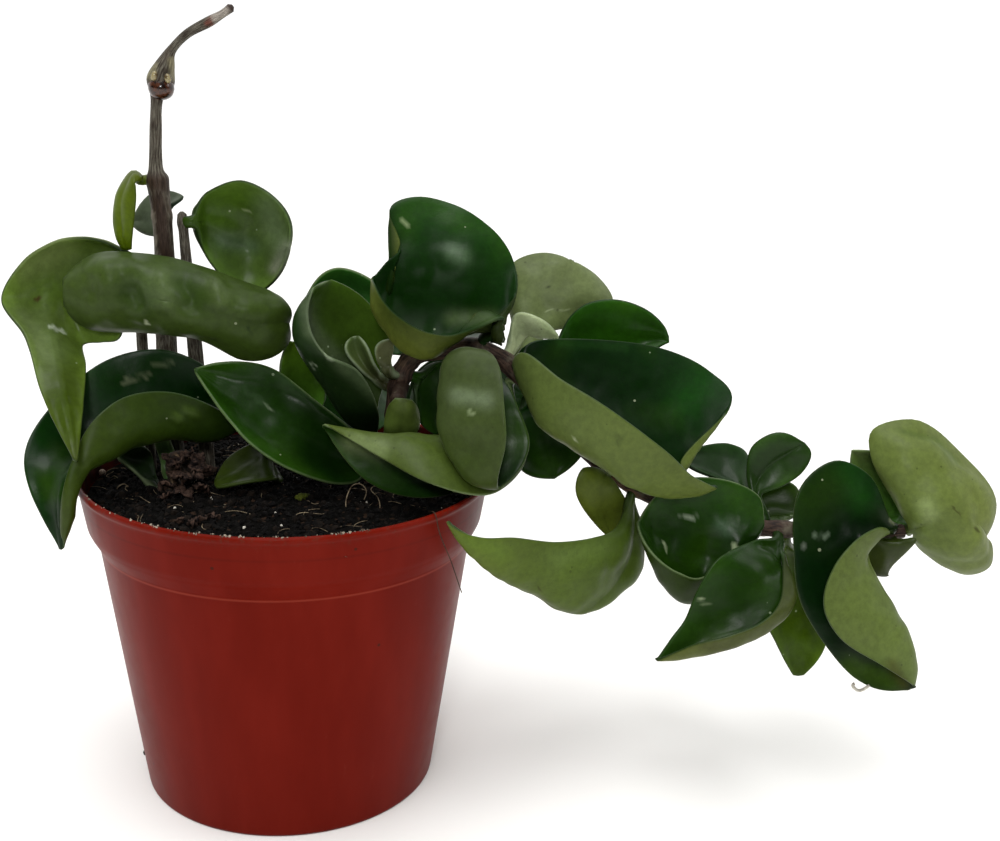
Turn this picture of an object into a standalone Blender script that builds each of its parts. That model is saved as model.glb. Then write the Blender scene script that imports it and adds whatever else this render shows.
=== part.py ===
"""A hindu rope plant in its nursery pot.

Sizes are in millimetres, and turn to metres where a mesh is made. The pot stands on z = 0 with its
middle at the origin. The trailing stem hangs over the rim towards +X, and the front faces -Y.
"""
import math

import bmesh
import bpy
import numpy as np

MM = 0.001

# Pot
POT_SIDES = 56
POT_HEIGHT = 84.6
POT_RIM_RADIUS = 52.5
POT_BASE_RADIUS = 38.15
POT_FLOOR = 1.6
POT_WALL = 1.2
COLLAR_WALL = 1.0
LIP_WIDTH = 1.3
LIP_FOOT = 83.3
COLLAR_TOP = 82.8
COLLAR_FOOT = 72.6
COLLAR_TOP_RADIUS = 51.9
COLLAR_FOOT_RADIUS = 50.2
NECK_TOP = 71.2
NECK_TOP_RADIUS = 49.6
NECK_FOOT = 67.6
NECK_FOOT_RADIUS = 47.5
DRAIN_HOLES = 6
DRAIN_RADIUS = 4.0
DRAIN_CIRCLE = 24.0

# The inner wall from the collar to the floor, as radius and height
INNER_WALL = [
    (COLLAR_FOOT_RADIUS - COLLAR_WALL, COLLAR_FOOT + 0.2),
    (NECK_TOP_RADIUS - COLLAR_WALL, NECK_TOP + 0.2),
    (NECK_FOOT_RADIUS - POT_WALL, NECK_FOOT - 0.2),
    (POT_BASE_RADIUS - POT_WALL, POT_FLOOR),
]

# Soil
SOIL_TOP = 79.5
SOIL_EDGE_RADIUS = 49.7
SOIL_SAG = 0.8
SOIL_LUMP = 0.22
SOIL_SEED = 7
CLEARANCE = 0.4

# Leaves and stems
STEM_SIDES = 8
STEM_CELL = 5.0
HOLE_CLEARANCE = 0.35
LEAF_CELL = 4.6
LEAF_THICKNESS = 1.3
STALK_THICKNESS = 2.3
STALK_HALF_WIDTH = 1.15
STALK_LENGTH = 1.6
STALK_GAP = 0.6
TIP_HALF_WIDTH = 0.5
MIDRIB_CREASE = 0.15
MARGIN_THINNING = 0.35
TIP_THICKNESS_SHARE = 0.7

# A blade starts to open this far up its stalk, and opens and closes over a share of its length
OPENING_START = 3.5
OPENING_SHARE = 0.12

# The eye that the places below are given from
EYE = np.array([54.5, -323.0, 191.0])

# Each stem from its foot in the soil to its tip: across, behind the middle plane, up, radius
STEMS = {
    "stem_upright": [(-28, 8, 66, 2.9), (-29, 8, 82, 2.9), (-30, 8, 100, 2.8), (-30, 8, 118, 2.7),
                     (-29.5, 8, 135, 2.5), (-29.8, 8, 148, 2.4), (-30.4, 8, 156, 2.7),
                     (-30.7, 8, 159.5, 1.75), (-30.4, 8, 168, 1.5), (-29.8, 8, 175.5, 1.5),
                     (-28.8, 8, 179.5, 3.3), (-27.4, 8, 183.5, 2.3), (-25.8, 8, 187, 1.15),
                     (-22, 8, 190.8, 1.05), (-17, 8, 193.6, 1.25), (-13.5, 8, 195.6, 0.95),
                     (-11, 8, 197.4, 1.2)],
    "stem_left": [(-35, 9, 68, 1.5), (-35.5, 9, 90, 1.5), (-36, 9, 110, 1.45), (-36, 9, 128, 1.3)],
    "stem_right": [(-20, 9, 68, 2), (-21, 9, 90, 2), (-22.6, 9, 112, 1.9), (-23.4, 9, 125, 1.7),
                   (-24.2, 9.5, 138, 1.35), (-24.6, 10, 144.5, 1.25), (-24.9, 10.5, 149, 1.1)],
    "stem_short": [(-8, 7, 68, 1.7), (-8, 7, 85, 1.7), (-9, 7, 97, 1.6), (-10, 7, 103, 1.5)],
    "stem_rope": [(27, 4, 66, 2.6), (27, 4, 80, 2.6), (27.5, 4, 95, 2.5), (28.5, 3, 107, 2.5),
                  (32.5, 2, 114.3, 2.4), (40, 1, 116.3, 2.5), (48, 1, 116.8, 2.4), (55, 2, 114, 2.3),
                  (62, 3, 107, 2.2), (70, 3, 97.5, 2.2), (80, 1, 88, 2.1), (92, 0, 80, 2.1),
                  (104, 0, 75, 2), (116, 0, 72, 2), (128, 0, 71, 2), (142, 1, 71, 1.9),
                  (154, 2, 71, 1.7), (161, 3, 71.5, 1.5)],
}

# Each leaf as three lines, in across, behind the middle plane, up. The midrib "mid" starts beside
# the stem and ends at the tip. The margins "one" and "two" have a point for each one between.
# "puff" is how far the two halves of the blade bulge out. "swells" are soft humps of the blade: the
# share along it, the share across towards "one", the reach along and across, and the height.
LEAVES = {
    "leaf_pan": {
        "stem": "stem_right", "finish": "leaf_green", "puff": 0.8,
        "mid": [(-22.4, 9.5, 146.5), (-19.8, 12, 146.4), (-15, 14.5, 145.5), (-8, 17, 143),
                (-1.8, 13, 141), (1.3, 8, 141)],
        "one": [(-21, 10, 150.6), (-18, 11, 154.3), (-9.5, 10, 157), (0, 9, 151)],
        "two": [(-20.6, 10, 141), (-17.8, 10, 135.6), (-11, 9, 128.5), (-3.4, 9, 131.5)],
    },
    "leaf_back_small": {
        "stem": "stem_upright", "finish": "leaf_olive", "puff": 0.5,
        "mid": [(-29.5, 11, 148), (-31, 17, 147), (-34, 19.5, 146.5), (-37.2, 20, 146)],
        "one": [(-23.6, 16, 153), (-31, 21, 154)],
        "two": [(-27, 16, 143), (-33, 18, 143)],
    },
    "leaf_yellow": {
        "stem": "stem_upright", "finish": "leaf_yellow", "puff": 0.4, "tip": 1.8,
        "mid": [(-33.5, 8, 156.5), (-36.2, 5, 157.2), (-38.6, 4, 152), (-39.2, 4.5, 145.5),
                (-38.8, 4.5, 139.3)],
        "one": [(-36, 2, 155.6), (-36, 1, 151.5), (-36.9, 2, 145)],
        "two": [(-37, 9, 157.8), (-40.5, 8, 152), (-41.6, 6.5, 145)],
    },
    "leaf_pod": {
        "stem": "stem_right", "finish": "leaf_pale", "puff": 1.2, "tip": 3.5,
        "mid": [(-20, 9, 121), (-9, 7, 121), (-1, 4, 121.5), (0.2, 0, 122), (-8, -6, 122),
                (-21, -7, 125), (-34, -7, 127.5), (-45, -6, 128), (-51, -5, 128), (-55, -3, 128)],
        "one": [(-9, 8, 123), (-2.8, 5, 125.3), (-3.4, 1, 129.2), (-9.5, 1, 131.8), (-21, 1, 135.8),
                (-34, 2, 138.5), (-45, 2, 138.2), (-51, 1, 135.3)],
        "two": [(-9, 7, 119), (-3, 4, 117), (-4, 0, 112.9), (-11.5, 0, 112.2), (-21, 0, 117),
                (-34, 1, 118.5), (-45, 1, 118.3), (-51.5, 0, 120)],
        "swells": [(0.84, 0.1, 0.04, 0.5, -1.3), (0.9, 0.1, 0.03, 0.35, 1.1),
                   (0.79, 0, 0.04, 0.35, 1.3), (0.73, 0.1, 0.03, 0.4, -0.8), (0.69, 0, 0.04, 0.4, 1.2),
                   (0.6, 0, 0.06, 0.5, -1.2)],
    },
    "leaf_left": {
        "stem": "stem_upright", "finish": "leaf_pale", "puff": 0.6,
        "mid": [(-33, 8, 134), (-42, 9, 136), (-49, 9, 134), (-56, 7, 130), (-59, 2, 123),
                (-58, -9, 112), (-56.6, -22.5, 98.5), (-54.9, -34.5, 84.2)],
        "one": [(-45, 6, 141), (-55, 3, 141), (-64.4, 0, 135.6), (-71, -4, 125.7),
                (-65.6, -9.5, 116.4), (-62.6, -20, 101.5)],
        "two": [(-40, 3, 121), (-42, 2, 116), (-46.5, 2, 115.2), (-51, 2, 114.4), (-50.6, -7, 109),
                (-52.2, -21, 97)],
    },
    "leaf_rim": {
        "stem": "stem_short", "finish": "leaf_green", "puff": 1.5,
        "mid": [(-11, 5, 96), (-20, 0, 92), (-31, -6, 92.5), (-41, -13, 90), (-50, -20.6, 85),
                (-56.8, -26.5, 80.3), (-59.3, -29.5, 71.8), (-60, -28, 59.5)],
        "one": [(-18, -6, 101), (-29, -11, 104.5), (-40, -16, 103.2), (-47.8, -22, 98),
                (-53.4, -26, 89.6), (-58.4, -31, 77)],
        "two": [(-17, 3, 109.5), (-30, 2, 115.8), (-45, -2, 112.8), (-58, -10, 102.5),
                (-67.6, -20, 89), (-68, -26, 76)],
        "swells": [(0.5, 0.5, 0.3, 0.35, -2.2), (0.62, -0.6, 0.12, 0.3, -1)],
    },
    "leaf_soil_left": {
        "stem": None, "finish": "leaf_green", "puff": 0.3,
        "mid": [(-33, -6, 77), (-37, -4, 81.5), (-39.5, -2, 84.5), (-38, -2, 88.5)],
        "one": [(-40, -9, 82), (-44, -8, 86)],
        "two": [(-34.5, 0, 83.5), (-35.3, 1, 87)],
    },
    "leaf_sprig": {
        "stem": None, "finish": "leaf_pale", "puff": 0.2,
        "mid": [(-30, 2, 81), (-31, 3, 86), (-32, 3, 89.5), (-30.5, 3, 93)],
        "one": [(-33.3, 2, 86.5), (-34, 2, 90)],
        "two": [(-29, 2, 86.5), (-30, 2, 90)],
    },
    "leaf_soil_olive": {
        "stem": None, "finish": "leaf_olive", "puff": 0.5, "tip": 1.6,
        "mid": [(-1, 3, 86), (-5, -1, 85.5), (-11, -6, 82.5), (-18.8, -10, 78.6)],
        "one": [(-3.5, -9, 80.4), (-12, -12, 79.2)],
        "two": [(-6, 3, 90.2), (-14.5, 1, 87)],
    },
    "dried_leaf": {
        "stem": None, "finish": "dried_leaf", "puff": 0,
        "mid": [(-32, -9, 80), (-29, -6, 82.4), (-24, -5, 82.4), (-19.5, -7, 82)],
        "one": [(-31, -4, 86.5), (-24, -3, 87.5)],
        "two": [(-29, -10, 80.2), (-23, -10, 80.2)],
    },
    "leaf_long": {
        "stem": "stem_rope", "finish": "leaf_dark", "puff": 0.6,
        "mid": [(24, 3, 88), (18, 0, 88), (8, -3, 92), (-3, -4, 98), (-13, -4, 103), (-23, -4, 109)],
        "one": [(17, 1, 94.5), (8, 0, 101.5), (-3, 0, 110), (-13, -3, 111.7)],
        "two": [(17, -9, 80), (6, -16, 81), (-6, -17, 87), (-14, -14, 95)],
    },
    "leaf_gap": {
        "stem": "stem_short", "finish": "leaf_green", "puff": 0.4,
        "mid": [(-6, 8, 96), (0, 9, 99), (4, 9, 105), (3.5, 8, 112), (1, 7, 117.2)],
        "one": [(-4, 5, 101), (-2, 4, 106), (-1.5, 4, 112)],
        "two": [(8, 9, 99), (10, 10, 106), (7, 10, 114)],
    },
    "leaf_funnel": {
        "stem": "stem_rope", "finish": "leaf_dark", "puff": 0.6, "tip": 3.6,
        "mid": [(24.5, 4, 92), (15.8, -1, 97), (10, -2, 106), (6.5, -2, 114), (4.2, -1, 122),
                (9.4, 3.5, 132.2)],
        "one": [(24, -7, 100), (19, -13, 110), (10, -14, 114.5), (6, -8, 122.5)],
        "two": [(24, 8, 102), (27, 11, 113), (26.2, 12, 121), (20, 11, 129.4)],
    },
    "leaf_behind_funnel": {
        "stem": "stem_rope", "finish": "leaf_pale", "puff": 0.5,
        "mid": [(31, 5, 115), (28, 16, 121), (20, 22, 127), (12, 23, 129), (5.5, 18, 128.5)],
        "one": [(28, 16, 126), (21, 19, 133.8), (12, 19, 136)],
        "two": [(24.5, 20, 114.8), (16, 23, 118.8), (8, 21, 122)],
    },
    "leaf_inner_round": {
        "stem": "stem_rope", "finish": "leaf_olive", "puff": 0.2, "tip": 1.2,
        "mid": [(25.5, 3.5, 107), (21, 3, 110.5), (18.3, 4, 114.5), (17.4, 4.5, 118.8)],
        "one": [(19, 1, 110.3), (15, 1, 115.3)],
        "two": [(22.5, 1, 112.3), (20.6, 2, 116.8)],
    },
    "leaf_wedge": {
        "stem": "stem_rope", "finish": "leaf_pale", "puff": 0.2,
        "mid": [(27.5, 1, 109.5), (25, -1, 112.3), (24.6, 0, 115), (26.6, 1, 118.4)],
        "one": [(22.8, -1, 113), (22.9, -1, 117)],
        "two": [(26.6, 0, 113), (27.4, 1, 115.8)],
    },
    "leaf_oval": {
        "stem": "stem_rope", "finish": "leaf_olive", "puff": 0.4, "tip": 2.2,
        "mid": [(27.5, 0, 92), (28.7, -6, 94.5), (29.6, -7, 98.5), (29.8, -7, 103)],
        "one": [(25, -5, 95), (25.6, -5, 100.3)],
        "two": [(33.6, -4, 95), (33.8, -4, 99.8)],
    },
    "leaf_dark_inner": {
        "stem": "stem_rope", "finish": "leaf_dark", "puff": 0.3, "tip": 1,
        "mid": [(31, 3, 109.5), (34.5, 5, 108), (38, 5, 103), (38.8, 3, 94.5)],
        "one": [(33, 1, 104.5), (33.6, 1, 97.5)],
        "two": [(40, 5, 113.3), (43, 5, 105)],
    },
    "leaf_lower": {
        "stem": "stem_rope", "finish": "leaf_dark", "puff": 0.8,
        "mid": [(56.5, 4, 108), (57, 3, 102), (54.5, -2, 96), (45, -10, 93), (32, -16, 93.3),
                (20, -15, 93), (9.5, -13, 95.5)],
        "one": [(59.5, -3, 97), (61.5, -9, 86), (53, -25, 76.9), (38, -29, 79.3), (24, -23, 86.7)],
        "two": [(55, 3, 95), (50, -3, 84.5), (43, -11, 77.3), (31, -15, 75.7), (19, -15, 81)],
    },
    "leaf_convex": {
        "stem": "stem_rope", "finish": "leaf_dark", "puff": 1.2,
        "mid": [(48, -2.5, 115), (43.4, -9, 114.2), (40, -15, 110.5), (39, -19, 103),
                (40.6, -23, 91.5), (46, -26, 83.3), (55, -27, 80)],
        "one": [(51.8, -14, 115.3), (56.2, -24, 111.5), (57.6, -30, 103), (58, -33, 93.5),
                (56.4, -32, 85.3)],
        "two": [(50.3, -6, 113), (57.6, -13.5, 108.2), (61.6, -18.5, 101), (64.4, -21, 92.5),
                (61.6, -24, 85)],
        "swells": [(0.3, 0.5, 0.1, 0.5, -1.8), (0.74, 0.6, 0.09, 0.3, 1.6)],
    },
    "leaf_dark_low": {
        "stem": "stem_rope", "finish": "leaf_dark", "puff": 0.4,
        "mid": [(61.5, 5, 104), (63.5, 10, 100), (66.5, 12, 92.4), (69, 7, 83.2)],
        "one": [(59, 8, 98), (59.5, 6, 86)],
        "two": [(70, 11, 103), (77, 11, 93)],
    },
    "leaf_crown": {
        "stem": "stem_rope", "finish": "leaf_dark", "puff": 0.5,
        "mid": [(50, 0, 120), (54, 0, 121.8), (50, -2, 120.9), (45, -4, 120.6), (39, -5, 119.3),
                (33, -5, 118), (28, -4, 119.7), (24.4, -2, 124.5), (22.8, 1, 129), (22, 2, 134)],
        "one": [(56.5, -5, 123.2), (52.5, -11, 122.2), (46.8, -14, 121.2), (40.8, -15, 120),
                (34.5, -14, 121), (28.8, -13, 124.2), (24.6, -9, 128.4), (22.5, -4, 132.5)],
        "two": [(57.5, 6, 131), (57, 12, 139.5), (52, 15, 147), (43, 17, 152.8), (33, 17, 155),
                (26, 14, 152), (29, 9, 143), (25.6, 5, 138.8)],
        "swells": [(0.27, 0.5, 0.13, 0.38, 6), (0.2, 0.75, 0.1, 0.3, 2.5)],
    },
    "leaf_light_back": {
        "stem": "stem_rope", "finish": "leaf_pale", "puff": 0.7,
        "mid": [(58, 6, 113), (61, 14, 121), (65, 18, 127), (68.5, 20, 132), (70, 22, 136.5),
                (71, 24, 139.6)],
        "one": [(57, 16, 123), (55, 22, 131), (56, 25, 138.3), (63, 27, 141.4)],
        "two": [(68, 18, 122.5), (77, 22, 124), (81.8, 24, 129.5), (77.8, 26, 135.7)],
    },
    "leaf_dark_right": {
        "stem": "stem_rope", "finish": "leaf_dark", "puff": 0.5, "tip": 1.8,
        "mid": [(66, 6, 103.5), (70, 13, 112), (75, 15, 117.5), (82, 15, 121), (89, 15, 122.3),
                (95.9, 14, 121.5)],
        "one": [(69.3, 12, 121.8), (74, 13, 128.6), (82, 13, 130.5), (90.2, 13, 128.2)],
        "two": [(74, 12, 109), (80, 13, 111), (87, 13, 114), (93, 13, 117.8)],
    },
    "leaf_scrap": {
        "stem": "stem_rope", "finish": "leaf_pale", "puff": 0.2,
        "mid": [(57, 5, 117.5), (58.8, 7, 121.6), (63, 5, 122.6), (68.4, 5, 120.5)],
        "one": [(57.4, 5, 126.2), (63.5, 3, 125.2)],
        "two": [(61, 8, 120.6), (64, 7, 120)],
    },
    "leaf_taco": {
        "stem": "stem_rope", "finish": "leaf_dark", "puff": 0.6,
        "mid": [(58, 0.5, 113), (58.6, -6, 111.5), (64.3, -12, 99), (76, -14, 91.4), (86, -13.5, 85),
                (93.6, -12.5, 81), (102, -11.5, 79.4), (110.9, -10, 82)],
        "one": [(60.6, -11, 117), (70, -18, 110.2), (80, -22, 104.2), (90, -23, 97.4), (98, -20, 91.6),
                (105, -15.5, 86)],
        "two": [(62, -2, 119.9), (77, 4, 121.1), (94.5, 7, 119.3), (107.6, 5, 113.6),
                (113.8, 0, 105.2), (101, -8, 89.4)],
    },
    "leaf_scoop": {
        "stem": "stem_rope", "finish": "leaf_pale", "puff": 1.4,
        "mid": [(89, -2, 78), (89.6, -6, 70), (88, -10, 58.4), (77, -17, 46.7), (63.6, -22, 51.4),
                (52, -30, 58.6), (41.8, -36, 70.2)],
        "one": [(85.3, -12, 70), (79.4, -19, 67.2), (70, -25, 66.3), (59, -31, 67.2), (50, -35, 67.3)],
        "two": [(92.3, -2, 66), (91.6, 0, 58), (80, -6, 57.5), (67, -15, 60.5), (54, -27, 64.5)],
    },
    "leaf_hanging": {
        "stem": "stem_rope", "finish": "leaf_olive", "puff": 0.4,
        "mid": [(82, -3, 84.5), (81, -5, 82), (81, -5, 77), (84.5, -3, 67)],
        "one": [(76, -6, 86), (75.2, -7, 78)],
        "two": [(86.4, -2.4, 80), (88.2, -1.2, 75.4)],
    },
    "leaf_beak": {
        "stem": "stem_rope", "finish": "leaf_green", "puff": 0.4,
        "mid": [(119.3, 3, 74.5), (117, 9, 84), (112, 12, 87.3), (106, 12, 88.8), (101, 11, 89.8)],
        "one": [(119, 15, 90), (114, 16, 94), (107, 15, 93.3)],
        "two": [(116, 7, 82), (111, 8, 84.3), (105, 8, 86.5)],
    },
    "leaf_oval_top": {
        "stem": "stem_rope", "finish": "leaf_green", "puff": -0.5, "tip": 1.4,
        "mid": [(123.6, 1.5, 74.2), (121.4, 3, 80), (121.6, 5, 84.6), (125, 5.5, 89), (129, 5, 92.2),
                (132.4, 4.5, 94.6)],
        "one": [(119.6, 4, 80.8), (118.4, 5.5, 87.4), (119.4, 5.5, 93.6), (125.2, 5, 97.4)],
        "two": [(122, 3.5, 80), (127.4, 3, 82.2), (132.4, 3.5, 86), (134.7, 4, 90.6)],
    },
    "leaf_glossy": {
        "stem": "stem_rope", "finish": "leaf_dark", "puff": 0.6,
        "mid": [(122, -4, 69.5), (118, -7, 61), (111, -8, 53), (106, -8, 52.2), (100.4, -9, 57.5),
                (96.2, -10, 63.5), (91.3, -11, 71.5)],
        "one": [(119, -12, 63.5), (109, -16, 57), (103, -18, 58.3), (97.5, -18, 61.7), (93.3, -15, 66.5)],
        "two": [(124.6, -6, 74), (122.6, -4, 81), (114, -3, 85.2), (103, -4, 85.3), (95.5, -6, 80.3)],
        "swells": [(0.4, -0.4, 0.16, 0.45, 4), (0.62, -0.25, 0.1, 0.3, 2.2)],
    },
    "leaf_pointed": {
        "stem": "stem_rope", "finish": "leaf_dark", "puff": 1,
        "mid": [(128, -3, 68.5), (128.5, -9, 62), (131, -16, 54), (127.6, -20, 46), (119, -24, 39),
                (108.5, -25, 34.8), (98.7, -25, 32.6)],
        "one": [(130, -12, 60), (130, -21, 51), (126, -27, 45), (117, -30, 40.4), (106.5, -29, 37.6)],
        "two": [(121.4, -10, 68), (112, -18, 62.6), (107, -21, 53.5), (104.3, -22, 45),
                (100.6, -24, 38.8)],
        "swells": [(0.24, -0.45, 0.06, 0.3, 2), (0.5, -0.2, 0.12, 0.4, 1.6)],
    },
    "leaf_drooping": {
        "stem": "stem_rope", "finish": "leaf_yellow", "puff": 0.4, "tip": 1.6,
        "mid": [(130, 1, 68.5), (130, 5, 63), (131.5, 6, 52), (135.5, 5, 40), (137, 3, 29.3)],
        "one": [(125, 4, 60), (125.2, 2, 48.4), (130.4, 2, 38.3)],
        "two": [(135, 7, 62), (141, 7, 50), (143.8, 5, 39)],
    },
    "leaf_olive_up": {
        "stem": "stem_rope", "finish": "leaf_olive", "puff": 0.3,
        "mid": [(128, 3.5, 73), (126.6, 9, 75.5), (125.6, 12, 80), (125.4, 13, 84.5)],
        "one": [(122.2, 9.5, 75), (121, 12, 81)],
        "two": [(132.6, 8, 75.5), (132.2, 11, 82.5)],
    },
    "leaf_big_right": {
        "stem": "stem_rope", "finish": "leaf_green", "puff": 0.7, "tip": 1.5,
        "mid": [(158, -1, 72.5), (154.2, -5, 70.4), (151.6, -7, 67), (151.8, -9, 62.5), (155, -10, 57),
                (159.5, -11, 50.5), (164, -12, 43), (167.5, -13, 35), (167.8, -14, 26.4)],
        "one": [(154.5, -8, 73), (148.8, -12, 69.2), (143.8, -16, 62.3), (141, -19, 54),
                (141.8, -21, 46), (147.5, -21, 38.3), (159, -19, 31.7)],
        "two": [(156, -2.5, 78), (150, 0, 87.5), (140, 1, 91), (131.3, -2, 82.5), (130.8, -6, 66),
                (134.6, -10, 47.8), (150.2, -13, 28.2)],
    },
    "leaf_green_gap": {
        "stem": "stem_rope", "finish": "leaf_green", "puff": 0.3,
        "mid": [(158, 5.5, 73), (160.5, 9.5, 78), (154.5, 10, 86), (145.4, 7, 93)],
        "one": [(150.4, 8, 76.5), (145.6, 6, 86)],
        "two": [(166.5, 9, 72.5), (161, 9, 88.5)],
    },
    "leaf_olive_low": {
        "stem": "stem_rope", "finish": "leaf_olive", "puff": 0.3, "tip": 2,
        "mid": [(157.5, 1, 69.5), (157, -3.6, 68), (156.4, -2.5, 63.5), (156.2, 0, 58.8)],
        "one": [(152.6, -3.2, 71), (151, 0, 62)],
        "two": [(164.8, -5, 69.4), (158.8, 0, 61.5)],
    },
    "leaf_bulb": {
        "stem": "stem_rope", "finish": "leaf_pale", "puff": 0.8,
        "mid": [(162.5, 1, 72), (165.5, -4, 73.5), (168, -5, 75), (171, -6, 76), (174, -6, 76),
                (177, -5, 75), (180, -3, 73), (182, 0, 70.2)],
        "one": [(157.5, 3, 79.5), (149.9, 4, 91.3), (149.7, 6, 99.4), (161, 7, 101.6),
                (172.4, 6, 93.6), (182.9, 4, 82.5)],
        "two": [(163.8, 3, 68.6), (167.6, 3, 65), (173, 3, 61.6), (178.8, 3, 59.8), (184.4, 2, 62.2),
                (184.1, 1, 68)],
    },
    "leaf_rear_middle": {
        "stem": "stem_short", "finish": "leaf_green", "puff": 0.6,
        "mid": [(-7, 9.5, 89), (1, 14, 95.5), (10, 20, 101), (19, 29, 104.5), (27, 40, 105)],
        "one": [(-7, 15, 101), (2, 21, 110.5), (16, 30, 117.5)],
        "two": [(8, 14, 90), (18, 20, 92), (26, 29, 97)],
    },
    "leaf_rear_right": {
        "stem": "stem_rope", "finish": "leaf_green", "puff": 0.6,
        "mid": [(29.5, 7, 100), (36, 13, 103), (44, 18, 105.5), (52, 24, 106), (62, 31, 104)],
        "one": [(34, 12, 111.5), (43, 17, 116), (52, 23, 114)],
        "two": [(38, 13, 96), (46, 18, 96.5), (56, 25, 97)],
    },
    "leaf_rear_left": {
        "stem": "stem_upright", "finish": "leaf_green", "puff": 0.6,
        "mid": [(-31, 12, 112), (-32, 20, 110), (-35, 32, 106), (-38, 43, 101), (-40, 52, 96)],
        "one": [(-38, 20, 112), (-43, 32, 108), (-44, 43, 102)],
        "two": [(-25, 21, 109), (-28, 33, 104), (-33, 44, 99)],
    },
    "leaf_rear_crown": {
        "stem": "stem_rope", "finish": "leaf_green", "puff": 0.6,
        "mid": [(46, 3.5, 118), (45, 10, 118), (42, 20, 121), (39, 30, 122), (37, 38, 119)],
        "one": [(40, 11, 121), (35, 20, 125), (34, 30, 125)],
        "two": [(50, 11, 120), (49, 20, 123), (45, 30, 123)],
    },
    "leaf_rear_taco": {
        "stem": "stem_rope", "finish": "leaf_green", "puff": 0.6,
        "mid": [(81, 4, 88.5), (82, 9, 90), (85, 17, 93), (89, 25, 93), (94, 31, 89)],
        "one": [(80, 9, 97), (83, 18, 102), (90, 26, 100)],
        "two": [(86, 8, 86), (91, 15, 87), (95, 22, 87)],
    },
    "leaf_rear_low": {
        "stem": "stem_rope", "finish": "leaf_green", "puff": 0.6,
        "mid": [(110, 3, 73), (109, 8, 72), (107, 16, 70), (103, 24, 65), (100, 30, 60)],
        "one": [(104, 9, 76), (100, 16, 74), (97, 24, 68)],
        "two": [(115, 9, 71), (113, 17, 66), (108, 24, 61)],
    },
    "leaf_rear_end": {
        "stem": "stem_rope", "finish": "leaf_green", "puff": 0.6,
        "mid": [(142, 4, 72), (142, 9, 74), (140, 16, 76), (139, 24, 73), (139, 31, 67)],
        "one": [(136.5, 10, 77), (133.5, 16, 79), (134, 24, 75)],
        "two": [(147, 9, 76), (147, 17, 77), (145, 24, 73)],
    },
}


# Colour as sRGB hex, and roughness
FINISHES = {
    "pot": ("6E2319", 0.45),
    "soil": ("2B1E17", 0.95),
    "stem_grey": ("6B6250", 0.7),
    "stem_red": ("6A4234", 0.6),
    "leaf_dark": ("2C3F1E", 0.35),
    "leaf_green": ("4C6A2E", 0.4),
    "leaf_pale": ("8FA066", 0.5),
    "leaf_olive": ("6E7040", 0.5),
    "leaf_yellow": ("A6A04A", 0.5),
    "dried_leaf": ("5A3B22", 0.8),
}


def clear_scene():
    """Take out whatever the file opened with."""
    for thing in list(bpy.data.objects):
        bpy.data.objects.remove(thing, do_unlink=True)


def linear(hex_colour):
    """An sRGB hex colour as linear red, green and blue."""
    values = [int(hex_colour[i:i + 2], 16) / 255 for i in (0, 2, 4)]
    return [v / 12.92 if v <= 0.04045 else ((v + 0.055) / 1.055)**2.4 for v in values]


def skin(node, finish):
    """The node's own material."""
    colour, roughness = FINISHES[finish]
    material = bpy.data.materials.new(node)
    material.use_nodes = True
    shader = material.node_tree.nodes["Principled BSDF"]
    shader.inputs["Base Color"].default_value = (*linear(colour), 1.0)
    shader.inputs["Roughness"].default_value = roughness
    shader.inputs["Metallic"].default_value = 0.0
    return material


def add_node(name, mesh, finish, parent):
    """An object that carries the mesh, smooth but for its sharp edges."""
    mesh.shade_smooth()
    mesh.set_sharp_from_angle(angle=math.radians(40))
    mesh.materials.append(skin(name, finish))
    piece = bpy.data.objects.new(name, mesh)
    piece.parent = parent
    bpy.context.collection.objects.link(piece)
    return piece


def add_cutter(name, mesh, target):
    """A hidden tool that takes its shape out of the target."""
    cutter = bpy.data.objects.new(name, mesh)
    cutter.hide_render = True
    cutter.display_type = 'WIRE'
    bpy.context.collection.objects.link(cutter)
    cut = target.modifiers.new(name, 'BOOLEAN')
    cut.operation = 'DIFFERENCE'
    cut.solver = 'EXACT'
    cut.object = cutter
    return cutter


def mesh_of(name, points, faces):
    """A mesh from points in millimetres."""
    mesh = bpy.data.meshes.new(name)
    mesh.from_pydata([tuple(p) for p in np.asarray(points) * MM], [], faces)
    mesh.validate()
    return mesh


def seen(across, behind, up):
    """The point that shows at (across, up) on the upright middle plane, moved behind that plane."""
    flat = np.array([across, 0.0, up])
    return EYE + (flat - EYE) * (1.0 - behind / EYE[1])


def unit(vector):
    return vector / max(np.linalg.norm(vector), 1e-9)


def spline(points, count):
    """A smooth line through the points, read at even steps between its first and last."""
    p = np.asarray(points, float)
    last = len(p) - 1
    slope = np.zeros_like(p)
    slope[1:-1] = (p[2:] - p[:-2]) / 2
    slope[0] = (4 * p[1] - 3 * p[0] - p[2]) / 2
    slope[-1] = (3 * p[-1] - 4 * p[-2] + p[-3]) / 2
    place = np.linspace(0, last, count)
    k = np.minimum(place.astype(int), last - 1)
    f = (place - k)[:, None]
    start = (2 * f**3 - 3 * f**2 + 1) * p[k] + (f**3 - 2 * f**2 + f) * slope[k]
    end = (3 * f**2 - 2 * f**3) * p[k + 1] + (f**3 - f**2) * slope[k + 1]
    return start + end


def at_lengths(lengths, wanted, columns):
    """Each column read where the running length has the wanted values."""
    return np.stack([np.interp(wanted, lengths, c) for c in columns.T], 1)


def running_length(points):
    steps = np.linalg.norm(np.diff(points, axis=0), axis=1)
    return np.concatenate([[0.0], np.cumsum(steps)])


def stem_line(name, count=400):
    """The middle of a stem and its radius there, as one row of x, y, z, radius for each point."""
    rows = STEMS[name]
    places = [(*seen(across, behind, up), radius) for across, behind, up, radius in rows]
    return spline(places, count)


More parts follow.
